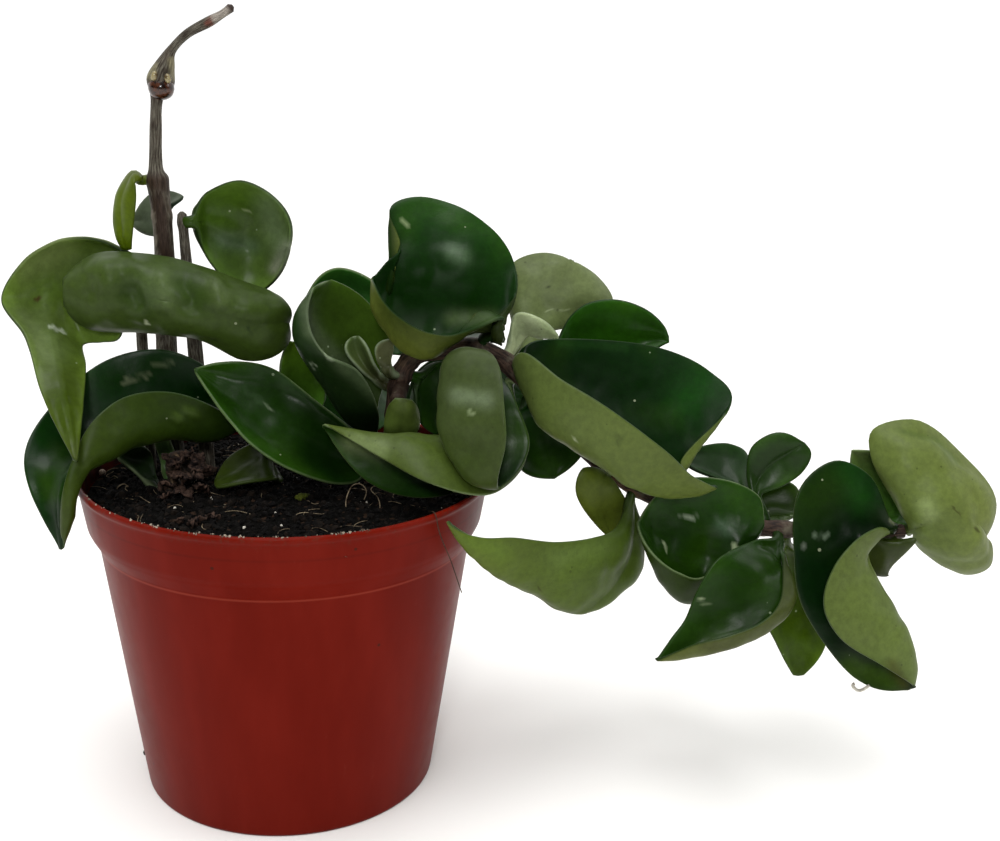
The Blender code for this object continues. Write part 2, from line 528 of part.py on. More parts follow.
def stem_rings(name):
    """The stem's middle and radius at even steps along it."""
    line = stem_line(name)
    lengths = running_length(line[:, :3])
    steps = max(4, int(lengths[-1] / STEM_CELL))
    return at_lengths(lengths, np.linspace(0, lengths[-1], steps + 1), line)


def tube(name, rings, wider=0.0, first=None):
    """A closed tube round the rings, with the same facets whatever its width."""
    middle = rings[:, :3]
    along = np.gradient(middle, axis=0)
    along /= np.linalg.norm(along, axis=1, keepdims=True)
    side = unit(np.cross(along[0], [0.0, 1.0, 0.0]))
    if first is not None:
        middle = np.vstack([middle[0] - along[0] * first, middle[1:]])
    points = []
    for centre, direction, radius in zip(middle, along, rings[:, 3] + wider):
        side = unit(side - direction * (side @ direction))
        other = np.cross(direction, side)
        for k in range(STEM_SIDES):
            turn = 2 * math.pi * k / STEM_SIDES
            points.append(centre + radius * (math.cos(turn) * side + math.sin(turn) * other))
    faces = [tuple(range(STEM_SIDES))[::-1]]
    for i in range(len(middle) - 1):
        for k in range(STEM_SIDES):
            here = i * STEM_SIDES + k
            next_one = i * STEM_SIDES + (k + 1) % STEM_SIDES
            faces.append((here, next_one, next_one + STEM_SIDES, here + STEM_SIDES))
    top = (len(middle) - 1) * STEM_SIDES
    faces.append(tuple(range(top, top + STEM_SIDES)))
    return mesh_of(name, points, faces)


def foot_tube(name):
    """The room that a stem's foot needs in the soil, open at the top."""
    rings = stem_rings(name)
    above = np.nonzero(rings[:, 2] > SOIL_TOP + 3.0)[0][0]
    return tube("hole_" + name, rings[:above + 1], HOLE_CLEARANCE, HOLE_CLEARANCE)


def soil_height(place):
    """How high the soil's even surface is under a place."""
    return SOIL_TOP - SOIL_SAG * (place[0]**2 + place[1]**2) / SOIL_EDGE_RADIUS**2


def blade_lines(spec):
    """The midrib and the two margins of a leaf, from its stalk to its tip."""
    mid = [seen(*p) for p in spec["mid"]]
    one = [seen(*p) for p in spec["one"]]
    two = [seen(*p) for p in spec["two"]]
    base = mid[0]
    tip = mid[-1]
    if spec["stem"]:
        line = stem_line(spec["stem"], 200)
        k = np.argmin(np.linalg.norm(line[:, :3] - base, axis=1))
        out = unit(base - line[k, :3])
        base = line[k, :3] + out * (line[k, 3] + STALK_GAP)
    else:
        base[2] = soil_height(base) + SOIL_LUMP + STALK_GAP / 2
        out = unit((mid[1] - base) * np.array([1.0, 1.0, 0.3]))
        base[2] += STALK_THICKNESS / 2 * math.hypot(out[0], out[1])
    side = one[0] - two[0]
    side = unit(side - out * (side @ out))
    neck = base + out * STALK_LENGTH
    start = side * STALK_HALF_WIDTH
    end = unit(one[-1] - two[-1]) * spec.get("tip", TIP_HALF_WIDTH)
    midrib = np.array([base, neck] + mid[1:])
    first = np.array([base + start, neck + start * 1.1] + one + [tip + end])
    second = np.array([base - start, neck - start * 1.1] + two + [tip - end])
    return midrib, first, second


def hollow_side_up(midrib, first, second):
    """The margins in the order that turns the upper face to the hollow side."""
    hollow = 0.0
    for i in range(1, len(midrib) - 1):
        face = np.cross(first[i] - second[i], unit(midrib[i + 1] - midrib[i - 1]))
        hollow += ((first[i] + second[i]) / 2 - midrib[i]) @ face
    return (first, second) if hollow >= 0 else (second, first)


def normals(grid):
    down = np.gradient(grid, axis=0)
    across = np.gradient(grid, axis=1)
    up = np.cross(across, down)
    return up / np.maximum(np.linalg.norm(up, axis=2, keepdims=True), 1e-9)


def ease(value):
    value = np.clip(value, 0.0, 1.0)
    return value * value * (3 - 2 * value)


def blade(spec, rows, columns):
    """The middle surface of a leaf, its upper normals and its thickness, as grids."""
    midrib, one, two = blade_lines(spec)
    first, second = hollow_side_up(midrib, one, two)
    towards_one = 1 if first is one else -1
    fine = 24 * (len(midrib) - 1) + 1
    lines = np.hstack([spline(midrib, fine), spline(first, fine), spline(second, fine)])
    lengths = (2 * running_length(lines[:, 0:3]) + running_length(lines[:, 3:6])
               + running_length(lines[:, 6:9])) / 4
    wanted = np.linspace(0, lengths[-1], rows + 1)
    lines = at_lengths(lengths, wanted, lines)
    mid = lines[:, None, 0:3]
    right = lines[:, None, 3:6]
    left = lines[:, None, 6:9]
    v = np.linspace(-1, 1, columns + 1)[None, :, None]
    bend = v * v * (1 - MIDRIB_CREASE) + np.abs(v) * MIDRIB_CREASE
    grid = mid + v * (right - left) / 2 + bend * ((right + left) / 2 - mid)
    t = (wanted / lengths[-1])[:, None, None]
    opened = ease((t - OPENING_START / lengths[-1]) / OPENING_SHARE)
    closing = np.clip((1 - t) / OPENING_SHARE, 0, 1)
    up = normals(grid)
    grid = grid - up * spec["puff"] * np.sin(np.pi * np.abs(v)) * opened * closing
    for along, across, long_reach, wide_reach, height in spec.get("swells", []):
        hump = np.exp(-((t - along) / long_reach)**2 - ((v * towards_one - across) / wide_reach)**2)
        grid = grid + up * height * hump
    thickness = STALK_THICKNESS + (LEAF_THICKNESS - STALK_THICKNESS) * opened
    tip_share = TIP_THICKNESS_SHARE + (1 - TIP_THICKNESS_SHARE) * closing
    thickness = thickness * (1 - MARGIN_THINNING * np.abs(v)**3 * opened) * tip_share
    return grid, normals(grid), thickness


def steps_of(spec):
    """How many rows and columns keep the leaf's facets near LEAF_CELL."""
    grid = blade(spec, 12, 6)[0]
    length = np.linalg.norm(np.diff(grid[:, 3], axis=0), axis=1).sum()
    width = np.linalg.norm(np.diff(grid, axis=1), axis=2).sum(1).max()
    rows = int(np.clip(round(length / LEAF_CELL), 6, 14))
    columns = int(np.clip(2 * round(width / LEAF_CELL / 2), 4, 10))
    return rows, columns


def margin_ring(rows, columns):
    """The grid's outer points in order, as indices."""
    base = list(range(columns))
    right = [i * columns + columns - 1 for i in range(1, rows)]
    tip = [(rows - 1) * columns + j for j in range(columns - 2, -1, -1)]
    left = [i * columns for i in range(rows - 2, 0, -1)]
    return base + right + tip + left


def leaf(name):
    """A folded blade, cut into triangles alike on both faces."""
    spec = LEAVES[name]
    grid, up, thickness = blade(spec, *steps_of(spec))
    rows, columns = grid.shape[:2]
    points = np.concatenate([(grid + up * thickness / 2).reshape(-1, 3),
                             (grid - up * thickness / 2).reshape(-1, 3)])
    under = rows * columns
    faces = []
    for i in range(rows - 1):
        for j in range(columns - 1):
            a, b = i * columns + j, i * columns + j + 1
            c, d = b + columns, a + columns
            falling = np.linalg.norm(grid[i, j] - grid[i + 1, j + 1])
            rising = np.linalg.norm(grid[i, j + 1] - grid[i + 1, j])
            pair = [(a, b, c), (a, c, d)] if falling <= rising else [(a, b, d), (b, c, d)]
            for x, y, z in pair:
                faces.append((x, y, z))
                faces.append((x + under, z + under, y + under))
    ring = margin_ring(rows, columns)
    for here, following in zip(ring, ring[1:] + ring[:1]):
        faces.append((following, here, here + under))
        faces.append((following, here + under, following + under))
    return mesh_of(name, points, faces)


def turned(name, profile):
    """A solid turned about Z from a profile that starts and ends on the axis."""
    bm = bmesh.new()
    points = [bm.verts.new((radius * MM, 0, height * MM)) for radius, height in profile]
    edges = [bm.edges.new(pair) for pair in zip(points, points[1:])]
    bmesh.ops.spin(bm, geom=points + edges, cent=(0, 0, 0), axis=(0, 0, 1), angle=2 * math.pi,
                   steps=POT_SIDES, use_merge=True)
    bmesh.ops.remove_doubles(bm, verts=bm.verts, dist=1e-6)
    bmesh.ops.recalc_face_normals(bm, faces=bm.faces)
    mesh = bpy.data.meshes.new(name)
    bm.to_mesh(mesh)
    bm.free()
    return mesh


def pot_mesh():
    """A thin moulded pot with a tapered collar under a plain lip."""
    outside = [(0, 0), (POT_BASE_RADIUS, 0), (NECK_FOOT_RADIUS, NECK_FOOT), (NECK_TOP_RADIUS, NECK_TOP),
               (COLLAR_FOOT_RADIUS, COLLAR_FOOT), (COLLAR_TOP_RADIUS, COLLAR_TOP),
               (POT_RIM_RADIUS, LIP_FOOT), (POT_RIM_RADIUS, POT_HEIGHT)]
    inside = [(POT_RIM_RADIUS - LIP_WIDTH, POT_HEIGHT), (COLLAR_TOP_RADIUS - COLLAR_WALL, COLLAR_TOP),
              *INNER_WALL, (0, POT_FLOOR)]
    return turned("pot", outside + inside)


def soil_mesh():
    """The root ball that fills the pot, lumpy on top."""
    wall = [(radius - CLEARANCE, height) for radius, height in INNER_WALL]
    wall[-1] = (wall[-1][0], POT_FLOOR + CLEARANCE)
    top = [(0.0, SOIL_TOP)]
    for share in (0.25, 0.5, 0.75, 0.9, 1.0):
        radius = SOIL_EDGE_RADIUS * share
        top.append((radius, soil_height((radius, 0))))
    mesh = turned("soil", [(0, POT_FLOOR + CLEARANCE), *wall[::-1], *top[::-1]])
    lumps = np.random.default_rng(SOIL_SEED)
    bm = bmesh.new()
    bm.from_mesh(mesh)
    for point in bm.verts:
        inner = math.hypot(point.co.x, point.co.y) < SOIL_EDGE_RADIUS * 0.95 * MM
        if inner and point.co.z > (SOIL_TOP - SOIL_SAG) * MM:
            point.co.z += lumps.uniform(-SOIL_LUMP, SOIL_LUMP) * MM
    bmesh.ops.triangulate(bm, faces=bm.faces)
    bm.to_mesh(mesh)
    bm.free()
    return mesh


def add_pot(parent):
    pot = add_node("pot", pot_mesh(), "pot", parent)
    for k in range(DRAIN_HOLES):
        bm = bmesh.new()
        bmesh.ops.create_cone(bm, cap_ends=True, segments=16, radius1=DRAIN_RADIUS * MM,
                              radius2=DRAIN_RADIUS * MM, depth=3 * POT_FLOOR * MM)
        mesh = bpy.data.meshes.new("drain")
        bm.to_mesh(mesh)
        bm.free()
        drill = add_cutter(f"drain_{k + 1}", mesh, pot)
        turn = 2 * math.pi * k / DRAIN_HOLES
        drill.location = (DRAIN_CIRCLE * math.cos(turn) * MM, DRAIN_CIRCLE * math.sin(turn) * MM,
                          POT_FLOOR / 2 * MM)


def add_soil(parent):
    soil = add_node("soil", soil_mesh(), "soil", parent)
    for name in STEMS:
        add_cutter("hole_" + name, foot_tube(name), soil)


def main():
    clear_scene()
    plant = bpy.data.objects.new("hindu_rope_plant", None)
    bpy.context.collection.objects.link(plant)
    add_pot(plant)
    add_soil(plant)
    for name in STEMS:
        finish = "stem_red" if name == "stem_rope" else "stem_grey"
        add_node(name, tube(name, stem_rings(name)), finish, plant)
    for name, spec in LEAVES.items():
        add_node(name, leaf(name), spec["finish"], plant)


main()
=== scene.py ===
"""Looks of a hindu rope plant in its nursery pot: studio, leaves, stems, pot and soil.

Places are in millimetres and turn to metres where a mesh is made. The front faces -Y.
"""

import math
import random

import bmesh
import bpy
import numpy as np
from mathutils import Euler, Matrix, Vector, noise


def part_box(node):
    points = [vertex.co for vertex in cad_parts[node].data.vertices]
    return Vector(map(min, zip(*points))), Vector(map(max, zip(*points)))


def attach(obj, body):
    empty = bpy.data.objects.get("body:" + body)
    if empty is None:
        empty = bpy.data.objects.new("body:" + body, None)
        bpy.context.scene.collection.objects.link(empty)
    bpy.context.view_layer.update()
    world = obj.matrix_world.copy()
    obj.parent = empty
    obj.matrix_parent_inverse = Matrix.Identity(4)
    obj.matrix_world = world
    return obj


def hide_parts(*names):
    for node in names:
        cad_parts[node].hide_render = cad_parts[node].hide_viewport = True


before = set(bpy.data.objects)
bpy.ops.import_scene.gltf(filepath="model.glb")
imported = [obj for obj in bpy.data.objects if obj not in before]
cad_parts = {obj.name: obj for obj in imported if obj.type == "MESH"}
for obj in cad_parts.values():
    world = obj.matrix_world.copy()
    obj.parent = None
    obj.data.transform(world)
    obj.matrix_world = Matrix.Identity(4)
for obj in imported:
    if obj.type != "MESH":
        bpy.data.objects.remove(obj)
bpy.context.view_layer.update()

MM = 0.001

# Studio
EYE = np.array([54.5, -323.0, 191.0])
CAMERA_PITCH = 16.03
CAMERA_ROLL = 1.70
LENS = 47.376
SENSOR = 36.0
FLOOR_COLOUR = "F4F3F0"
WHITE_WALL = 1.1
DARK_WALL = 0.06
CEILING = 0.35

# Lamps, in metres: each softbox with its place, size and watts, and the even light from above
LIT_PLACE = (0.05, 0.0, 0.09)
SOFTBOXES = [("front_softbox", (0.02, -0.62, 0.42), 0.1, 1.3), ("side_softbox", (0.75, -0.1, 0.55), 0.3, 0.9)]
OVERHEAD_PLACE = (-0.1, -0.3, 0.95)
OVERHEAD_STRENGTH = 1.9
OVERHEAD_SPREAD = 35.0

# Pot and soil. The profiles are radius and height.
POT_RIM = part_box("pot")[1].x / MM
POT_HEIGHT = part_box("pot")[1].z / MM
SOIL_TOP = 79.5
SOIL_EDGE = 49.9
POT_BASE = 38.15
POT_WALL = 1.2
LIP_WIDTH = 1.3
POT_OUTSIDE = [(0, 0), (POT_BASE, 0), (47.5, 67.6), (49.6, 71.2), (50.2, 72.6), (51.9, 82.8),
               (POT_RIM, 83.3), (POT_RIM, POT_HEIGHT)]
POT_INSIDE = [(POT_RIM - LIP_WIDTH, POT_HEIGHT), (50.9, 82.8), (49.2, 72.8), (48.6, 71.4), (46.3, 67.4),
              (POT_BASE - POT_WALL, 1.6), (0, 1.6)]
SOIL_GAP = 0.4
SOIL_FOOT = 2.0
SCATTERED_TO = 48.4

# Loose matter on the soil: the piece, its finish, bits per square metre, the smallest and the
# largest, the seed and the roundness
SOIL_BITS = [("soil_crumbs", "mix", 430000, 0.35, 1.15, 1, 1), ("bark_bits", "bits", 42000, 0.6, 1.9, 2, 2),
             ("white_grit", "grit", 6000, 0.2, 0.6, 3, 2)]

# Dust along the pot's lip and two heaps of larger crumbs on its front: the piece, bits per square
# metre, the smallest and the largest, the degrees where it starts and ends, and the steps between
LIP_BITS = [("lip_dust", 620000, 0.12, 0.42, -150, -60, 96), ("lip_crumbs_0", 900000, 0.2, 0.5, -99, -91, 12),
            ("lip_crumbs_1", 900000, 0.2, 0.5, -71, -60, 12)]

# Loose matter by finish: the material, its dark and pale colours and its roughness
LOOSE_MATTER = {
    "mix": ("peat_crumb", "020101", "090705", 0.95),
    "bits": ("bark_bit", "040302", "18110B", 0.9),
    "husk": ("dry_husk", "0A0607", "4C3A30", 0.9),
    "bead": ("feed_bead", "8A7264", "B8A698", 0.5),
    "moss": ("moss", "2A300C", "5C6420", 0.95),
    "grit": ("perlite", "9C968A", "D8D4C8", 0.8),
    "fibre": ("root_fibre", "3A2E22", "9A8A70", 0.8),
    "lip_dust": ("dry_dust", "3A2C20", "A89C8C", 0.9),
    "hair": ("root_hair", "2A1D16", "4A382C", 0.7),
}

# Leaves. The blade opens out of its stalk, and thins again towards its tip and its margins.
LEAF_CELL = 0.7
LINE_STEPS = 24
LEAF_THICKNESS = 1.3
STALK_THICKNESS = 2.3
STALK_HALF_WIDTH = 1.15
STALK_LENGTH = 1.6
STALK_SUNK = 0.5
NECK_FLARE = 1.1
OPENING_START = 3.5
END_SHARE = 0.12
TIP_HALF_WIDTH = 0.5
TIP_THINNING = 0.7
TIP_BLUNTNESS = 0.35
MARGIN_THINNING = 0.35
MARGIN_ROUNDING = 0.36
MARGIN_TURNS = np.radians([30, 60, 90, 120, 150])

# How far the margin's own colour covers the faces' colours, at each step round it
MARGIN_LINE = (0.15, 0.6, 1.0, 0.6, 0.15)

# The crease along the midrib, and the fine groove in it, which stands out as a lower ridge underneath
MIDRIB_CREASE = 0.15
GROOVE_DEPTH = 0.16
GROOVE_REACH = 0.7
UNDER_RIDGE = 0.6

# Stems
STEM_SIDES = 24
STEM_STEP = 0.7
JOINT_SWELLING = 0.28
JOINT_REACH = 1.3
RIB_DEPTH = 0.11
END_ROUNDING = 0.8
BARK_GIRTH = 12.0

# Each stem from its foot in the soil to its tip: across, behind the middle plane, up, radius
STEMS = {
    "stem_upright": [(-28, 8, 66, 2.9), (-29, 8, 82, 2.9), (-30, 8, 100, 2.8), (-30, 8, 118, 2.7),
                     (-29.5, 8, 135, 2.5), (-29.8, 8, 148, 2.4), (-30.4, 8, 156, 2.7),
                     (-30.7, 8, 159.5, 1.75), (-30.4, 8, 168, 1.5), (-29.8, 8, 175.5, 1.5),
                     (-28.8, 8, 179.5, 3.3), (-27.4, 8, 183.5, 2.3), (-25.8, 8, 187, 1.15),
                     (-22, 8, 190.8, 1.05), (-17, 8, 193.6, 1.25), (-13.5, 8, 195.6, 0.95),
                     (-11, 8, 197.4, 1.2)],
    "stem_left": [(-35, 9, 68, 1.5), (-35.5, 9, 90, 1.5), (-36, 9, 110, 1.45), (-36, 9, 128, 1.3)],
    "stem_right": [(-20, 9, 68, 2), (-21, 9, 90, 2), (-22.6, 9, 112, 1.9), (-23.4, 9, 125, 1.7),
                   (-24.2, 9.5, 138, 1.35), (-24.6, 10, 144.5, 1.25), (-24.9, 10.5, 149, 1.1)],
    "stem_short": [(-8, 7, 68, 1.7), (-8, 7, 85, 1.7), (-9, 7, 97, 1.6), (-10, 7, 103, 1.5)],
    "stem_rope": [(27, 4, 66, 2.6), (27, 4, 80, 2.6), (27.5, 4, 95, 2.5), (28.5, 3, 107, 2.5),
                  (32.5, 2, 114.3, 2.4), (40, 1, 116.3, 2.5), (48, 1, 116.8, 2.4), (55, 2, 114, 2.3),
                  (62, 3, 107, 2.2), (70, 3, 97.5, 2.2), (80, 1, 88, 2.1), (92, 0, 80, 2.1),
                  (104, 0, 75, 2), (116, 0, 72, 2), (128, 0, 71, 2), (142, 1, 71, 1.9),
                  (154, 2, 71, 1.7), (161, 3, 71.5, 1.5)],
}

# Each leaf as three lines, in across, behind the middle plane, up. The midrib "mid" starts beside
# the stem and ends at the tip. The margins "one" and "two" have a point for each one between.
# "puff" is how far the two halves of the blade bulge out. "swells" are soft humps of the blade: the
# share along it, the share across towards "one", the reach along and across, and the height.
LEAVES = {
    "leaf_pan": {
        "stem": "stem_right", "puff": 0.8,
        "mid": [(-22.4, 9.5, 146.5), (-19.8, 12, 146.4), (-15, 14.5, 145.5), (-8, 17, 143),
                (-1.8, 13, 141), (1.3, 8, 141)],
        "one": [(-21, 10, 150.6), (-18, 11, 154.3), (-9.5, 10, 157), (0, 9, 151)],
        "two": [(-20.6, 10, 141), (-17.8, 10, 135.6), (-11, 9, 128.5), (-3.4, 9, 131.5)],
    },
    "leaf_back_small": {
        "stem": "stem_upright", "puff": 0.5,
        "mid": [(-29.5, 11, 148), (-31, 17, 147), (-34, 19.5, 146.5), (-37.2, 20, 146)],
        "one": [(-23.6, 16, 153), (-31, 21, 154)],
        "two": [(-27, 16, 143), (-33, 18, 143)],
    },
    "leaf_yellow": {
        "stem": "stem_upright", "puff": 0.4, "tip": 1.8,
        "mid": [(-33.5, 8, 156.5), (-36.2, 5, 157.2), (-38.6, 4, 152), (-39.2, 4.5, 145.5),
                (-38.8, 4.5, 139.3)],
        "one": [(-36, 2, 155.6), (-36, 1, 151.5), (-36.9, 2, 145)],
        "two": [(-37, 9, 157.8), (-40.5, 8, 152), (-41.6, 6.5, 145)],
    },
    "leaf_pod": {
        "stem": "stem_right", "puff": 1.2, "tip": 3.5,
        "mid": [(-20, 9, 121), (-9, 7, 121), (-1, 4, 121.5), (0.2, 0, 122), (-8, -6, 122),
                (-21, -7, 125), (-34, -7, 127.5), (-45, -6, 128), (-51, -5, 128), (-55, -3, 128)],
        "one": [(-9, 8, 123), (-2.8, 5, 125.3), (-3.4, 1, 129.2), (-9.5, 1, 131.8), (-21, 1, 135.8),
                (-34, 2, 138.5), (-45, 2, 138.2), (-51, 1, 135.3)],
        "two": [(-9, 7, 119), (-3, 4, 117), (-4, 0, 112.9), (-11.5, 0, 112.2), (-21, 0, 117),
                (-34, 1, 118.5), (-45, 1, 118.3), (-51.5, 0, 120)],
        "swells": [(0.84, 0.1, 0.04, 0.5, -1.3), (0.9, 0.1, 0.03, 0.35, 1.1),
                   (0.79, 0, 0.04, 0.35, 1.3), (0.73, 0.1, 0.03, 0.4, -0.8), (0.69, 0, 0.04, 0.4, 1.2),
                   (0.6, 0, 0.06, 0.5, -1.2)],
    },
    "leaf_left": {
        "stem": "stem_upright", "puff": 0.6,
        "mid": [(-33, 8, 134), (-42, 9, 136), (-49, 9, 134), (-56, 7, 130), (-59, 2, 123),
                (-58, -9, 112), (-56.6, -22.5, 98.5), (-54.9, -34.5, 84.2)],
        "one": [(-45, 6, 141), (-55, 3, 141), (-64.4, 0, 135.6), (-71, -4, 125.7),
                (-65.6, -9.5, 116.4), (-62.6, -20, 101.5)],
        "two": [(-40, 3, 121), (-42, 2, 116), (-46.5, 2, 115.2), (-51, 2, 114.4), (-50.6, -7, 109),
                (-52.2, -21, 97)],
    },
    "leaf_rim": {
        "stem": "stem_short", "puff": 1.5,
        "mid": [(-11, 5, 96), (-20, 0, 92), (-31, -6, 92.5), (-41, -13, 90), (-50, -20.6, 85),
                (-56.8, -26.5, 80.3), (-59.3, -29.5, 71.8), (-60, -28, 59.5)],
        "one": [(-18, -6, 101), (-29, -11, 104.5), (-40, -16, 103.2), (-47.8, -22, 98),
                (-53.4, -26, 89.6), (-58.4, -31, 77)],
        "two": [(-17, 3, 109.5), (-30, 2, 115.8), (-45, -2, 112.8), (-58, -10, 102.5),
                (-67.6, -20, 89), (-68, -26, 76)],
        "swells": [(0.5, 0.5, 0.3, 0.35, -2.2), (0.62, -0.6, 0.12, 0.3, -1)],
    },
    "leaf_soil_left": {
        "stem": None, "puff": 0.3,
        "mid": [(-33, -6, 77), (-37, -4, 81.5), (-39.5, -2, 84.5), (-38, -2, 88.5)],
        "one": [(-40, -9, 82), (-44, -8, 86)],
        "two": [(-34.5, 0, 83.5), (-35.3, 1, 87)],
    },
    "leaf_sprig": {
        "stem": None, "puff": 0.2,
        "mid": [(-30, 2, 81), (-31, 3, 86), (-32, 3, 89.5), (-30.5, 3, 93)],
        "one": [(-33.3, 2, 86.5), (-34, 2, 90)],
        "two": [(-29, 2, 86.5), (-30, 2, 90)],
    },
    "leaf_soil_olive": {
        "stem": None, "puff": 0.5, "tip": 1.6,
        "mid": [(-1, 3, 86), (-5, -1, 85.5), (-11, -6, 82.5), (-18.8, -10, 78.6)],
        "one": [(-3.5, -9, 80.4), (-12, -12, 79.2)],
        "two": [(-6, 3, 90.2), (-14.5, 1, 87)],
    },
    "dried_leaf": {
        "stem": None, "puff": 0,
        "mid": [(-32, -9, 80), (-29, -6, 82.4), (-24, -5, 82.4), (-19.5, -7, 82)],
        "one": [(-31, -4, 86.5), (-24, -3, 87.5)],
        "two": [(-29, -10, 80.2), (-23, -10, 80.2)],
    },
    "leaf_long": {
        "stem": "stem_rope", "puff": 0.6,
        "mid": [(24, 3, 88), (18, 0, 88), (8, -3, 92), (-3, -4, 98), (-13, -4, 103), (-23, -4, 109)],
        "one": [(17, 1, 94.5), (8, 0, 101.5), (-3, 0, 110), (-13, -3, 111.7)],
        "two": [(17, -9, 80), (6, -16, 81), (-6, -17, 87), (-14, -14, 95)],
    },
    "leaf_gap": {
        "stem": "stem_short", "puff": 0.4,
        "mid": [(-6, 8, 96), (0, 9, 99), (4, 9, 105), (3.5, 8, 112), (1, 7, 117.2)],
        "one": [(-4, 5, 101), (-2, 4, 106), (-1.5, 4, 112)],
        "two": [(8, 9, 99), (10, 10, 106), (7, 10, 114)],
    },
    "leaf_funnel": {
        "stem": "stem_rope", "puff": 0.6, "tip": 3.6,
        "mid": [(24.5, 4, 92), (15.8, -1, 97), (10, -2, 106), (6.5, -2, 114), (4.2, -1, 122),
                (9.4, 3.5, 132.2)],
        "one": [(24, -7, 100), (19, -13, 110), (10, -14, 114.5), (6, -8, 122.5)],
        "two": [(24, 8, 102), (27, 11, 113), (26.2, 12, 121), (20, 11, 129.4)],
    },
    "leaf_behind_funnel": {
        "stem": "stem_rope", "puff": 0.5,
        "mid": [(31, 5, 115), (28, 16, 121), (20, 22, 127), (12, 23, 129), (5.5, 18, 128.5)],
        "one": [(28, 16, 126), (21, 19, 133.8), (12, 19, 136)],
        "two": [(24.5, 20, 114.8), (16, 23, 118.8), (8, 21, 122)],
    },
    "leaf_inner_round": {
        "stem": "stem_rope", "puff": 0.2, "tip": 1.2,
        "mid": [(25.5, 3.5, 107), (21, 3, 110.5), (18.3, 4, 114.5), (17.4, 4.5, 118.8)],
        "one": [(19, 1, 110.3), (15, 1, 115.3)],
        "two": [(22.5, 1, 112.3), (20.6, 2, 116.8)],
    },
    "leaf_wedge": {
        "stem": "stem_rope", "puff": 0.2,
        "mid": [(27.5, 1, 109.5), (25, -1, 112.3), (24.6, 0, 115), (26.6, 1, 118.4)],
        "one": [(22.8, -1, 113), (22.9, -1, 117)],
        "two": [(26.6, 0, 113), (27.4, 1, 115.8)],
    },
    "leaf_oval": {
        "stem": "stem_rope", "puff": 0.4, "tip": 2.2,
        "mid": [(27.5, 0, 92), (28.7, -6, 94.5), (29.6, -7, 98.5), (29.8, -7, 103)],
        "one": [(25, -5, 95), (25.6, -5, 100.3)],
        "two": [(33.6, -4, 95), (33.8, -4, 99.8)],
    },
    "leaf_dark_inner": {
        "stem": "stem_rope", "puff": 0.3, "tip": 1,
        "mid": [(31, 3, 109.5), (34.5, 5, 108), (38, 5, 103), (38.8, 3, 94.5)],
        "one": [(33, 1, 104.5), (33.6, 1, 97.5)],
        "two": [(40, 5, 113.3), (43, 5, 105)],
    },
    "leaf_lower": {
        "stem": "stem_rope", "puff": 0.8,
        "mid": [(56.5, 4, 108), (57, 3, 102), (54.5, -2, 96), (45, -10, 93), (32, -16, 93.3),
                (20, -15, 93), (9.5, -13, 95.5)],
        "one": [(59.5, -3, 97), (61.5, -9, 86), (53, -25, 76.9), (38, -29, 79.3), (24, -23, 86.7)],
        "two": [(55, 3, 95), (50, -3, 84.5), (43, -11, 77.3), (31, -15, 75.7), (19, -15, 81)],
    },
    "leaf_convex": {
        "stem": "stem_rope", "puff": 1.2,
        "mid": [(48, -2.5, 115), (43.4, -9, 114.2), (40, -15, 110.5), (39, -19, 103),
                (40.6, -23, 91.5), (46, -26, 83.3), (55, -27, 80)],
        "one": [(51.8, -14, 115.3), (56.2, -24, 111.5), (57.6, -30, 103), (58, -33, 93.5),
                (56.4, -32, 85.3)],
        "two": [(50.3, -6, 113), (57.6, -13.5, 108.2), (61.6, -18.5, 101), (64.4, -21, 92.5),
                (61.6, -24, 85)],
        "swells": [(0.3, 0.5, 0.1, 0.5, -1.8), (0.74, 0.6, 0.09, 0.3, 1.6)],
    },
    "leaf_dark_low": {
        "stem": "stem_rope", "puff": 0.4,
        "mid": [(61.5, 5, 104), (63.5, 10, 100), (66.5, 12, 92.4), (69, 7, 83.2)],
        "one": [(59, 8, 98), (59.5, 6, 86)],
        "two": [(70, 11, 103), (77, 11, 93)],
    },
    "leaf_crown": {
        "stem": "stem_rope", "puff": 0.5,
        "mid": [(50, 0, 120), (54, 0, 121.8), (50, -2, 120.9), (45, -4, 120.6), (39, -5, 119.3),
                (33, -5, 118), (28, -4, 119.7), (24.4, -2, 124.5), (22.8, 1, 129), (22, 2, 134)],
        "one": [(56.5, -5, 123.2), (52.5, -11, 122.2), (46.8, -14, 121.2), (40.8, -15, 120),
                (34.5, -14, 121), (28.8, -13, 124.2), (24.6, -9, 128.4), (22.5, -4, 132.5)],
        "two": [(57.5, 6, 131), (57, 12, 139.5), (52, 15, 147), (43, 17, 152.8), (33, 17, 155),
                (26, 14, 152), (29, 9, 143), (25.6, 5, 138.8)],
        "swells": [(0.27, 0.5, 0.13, 0.38, 6), (0.2, 0.75, 0.1, 0.3, 2.5)],
    },
    "leaf_light_back": {
        "stem": "stem_rope", "puff": 0.7,
        "mid": [(58, 6, 113), (61, 14, 121), (65, 18, 127), (68.5, 20, 132), (70, 22, 136.5),
                (71, 24, 139.6)],
        "one": [(57, 16, 123), (55, 22, 131), (56, 25, 138.3), (63, 27, 141.4)],
        "two": [(68, 18, 122.5), (77, 22, 124), (81.8, 24, 129.5), (77.8, 26, 135.7)],
    },
    "leaf_dark_right": {
        "stem": "stem_rope", "puff": 0.5, "tip": 1.8,
        "mid": [(66, 6, 103.5), (70, 13, 112), (75, 15, 117.5), (82, 15, 121), (89, 15, 122.3),
                (95.9, 14, 121.5)],
        "one": [(69.3, 12, 121.8), (74, 13, 128.6), (82, 13, 130.5), (90.2, 13, 128.2)],
        "two": [(74, 12, 109), (80, 13, 111), (87, 13, 114), (93, 13, 117.8)],
    },
    "leaf_scrap": {
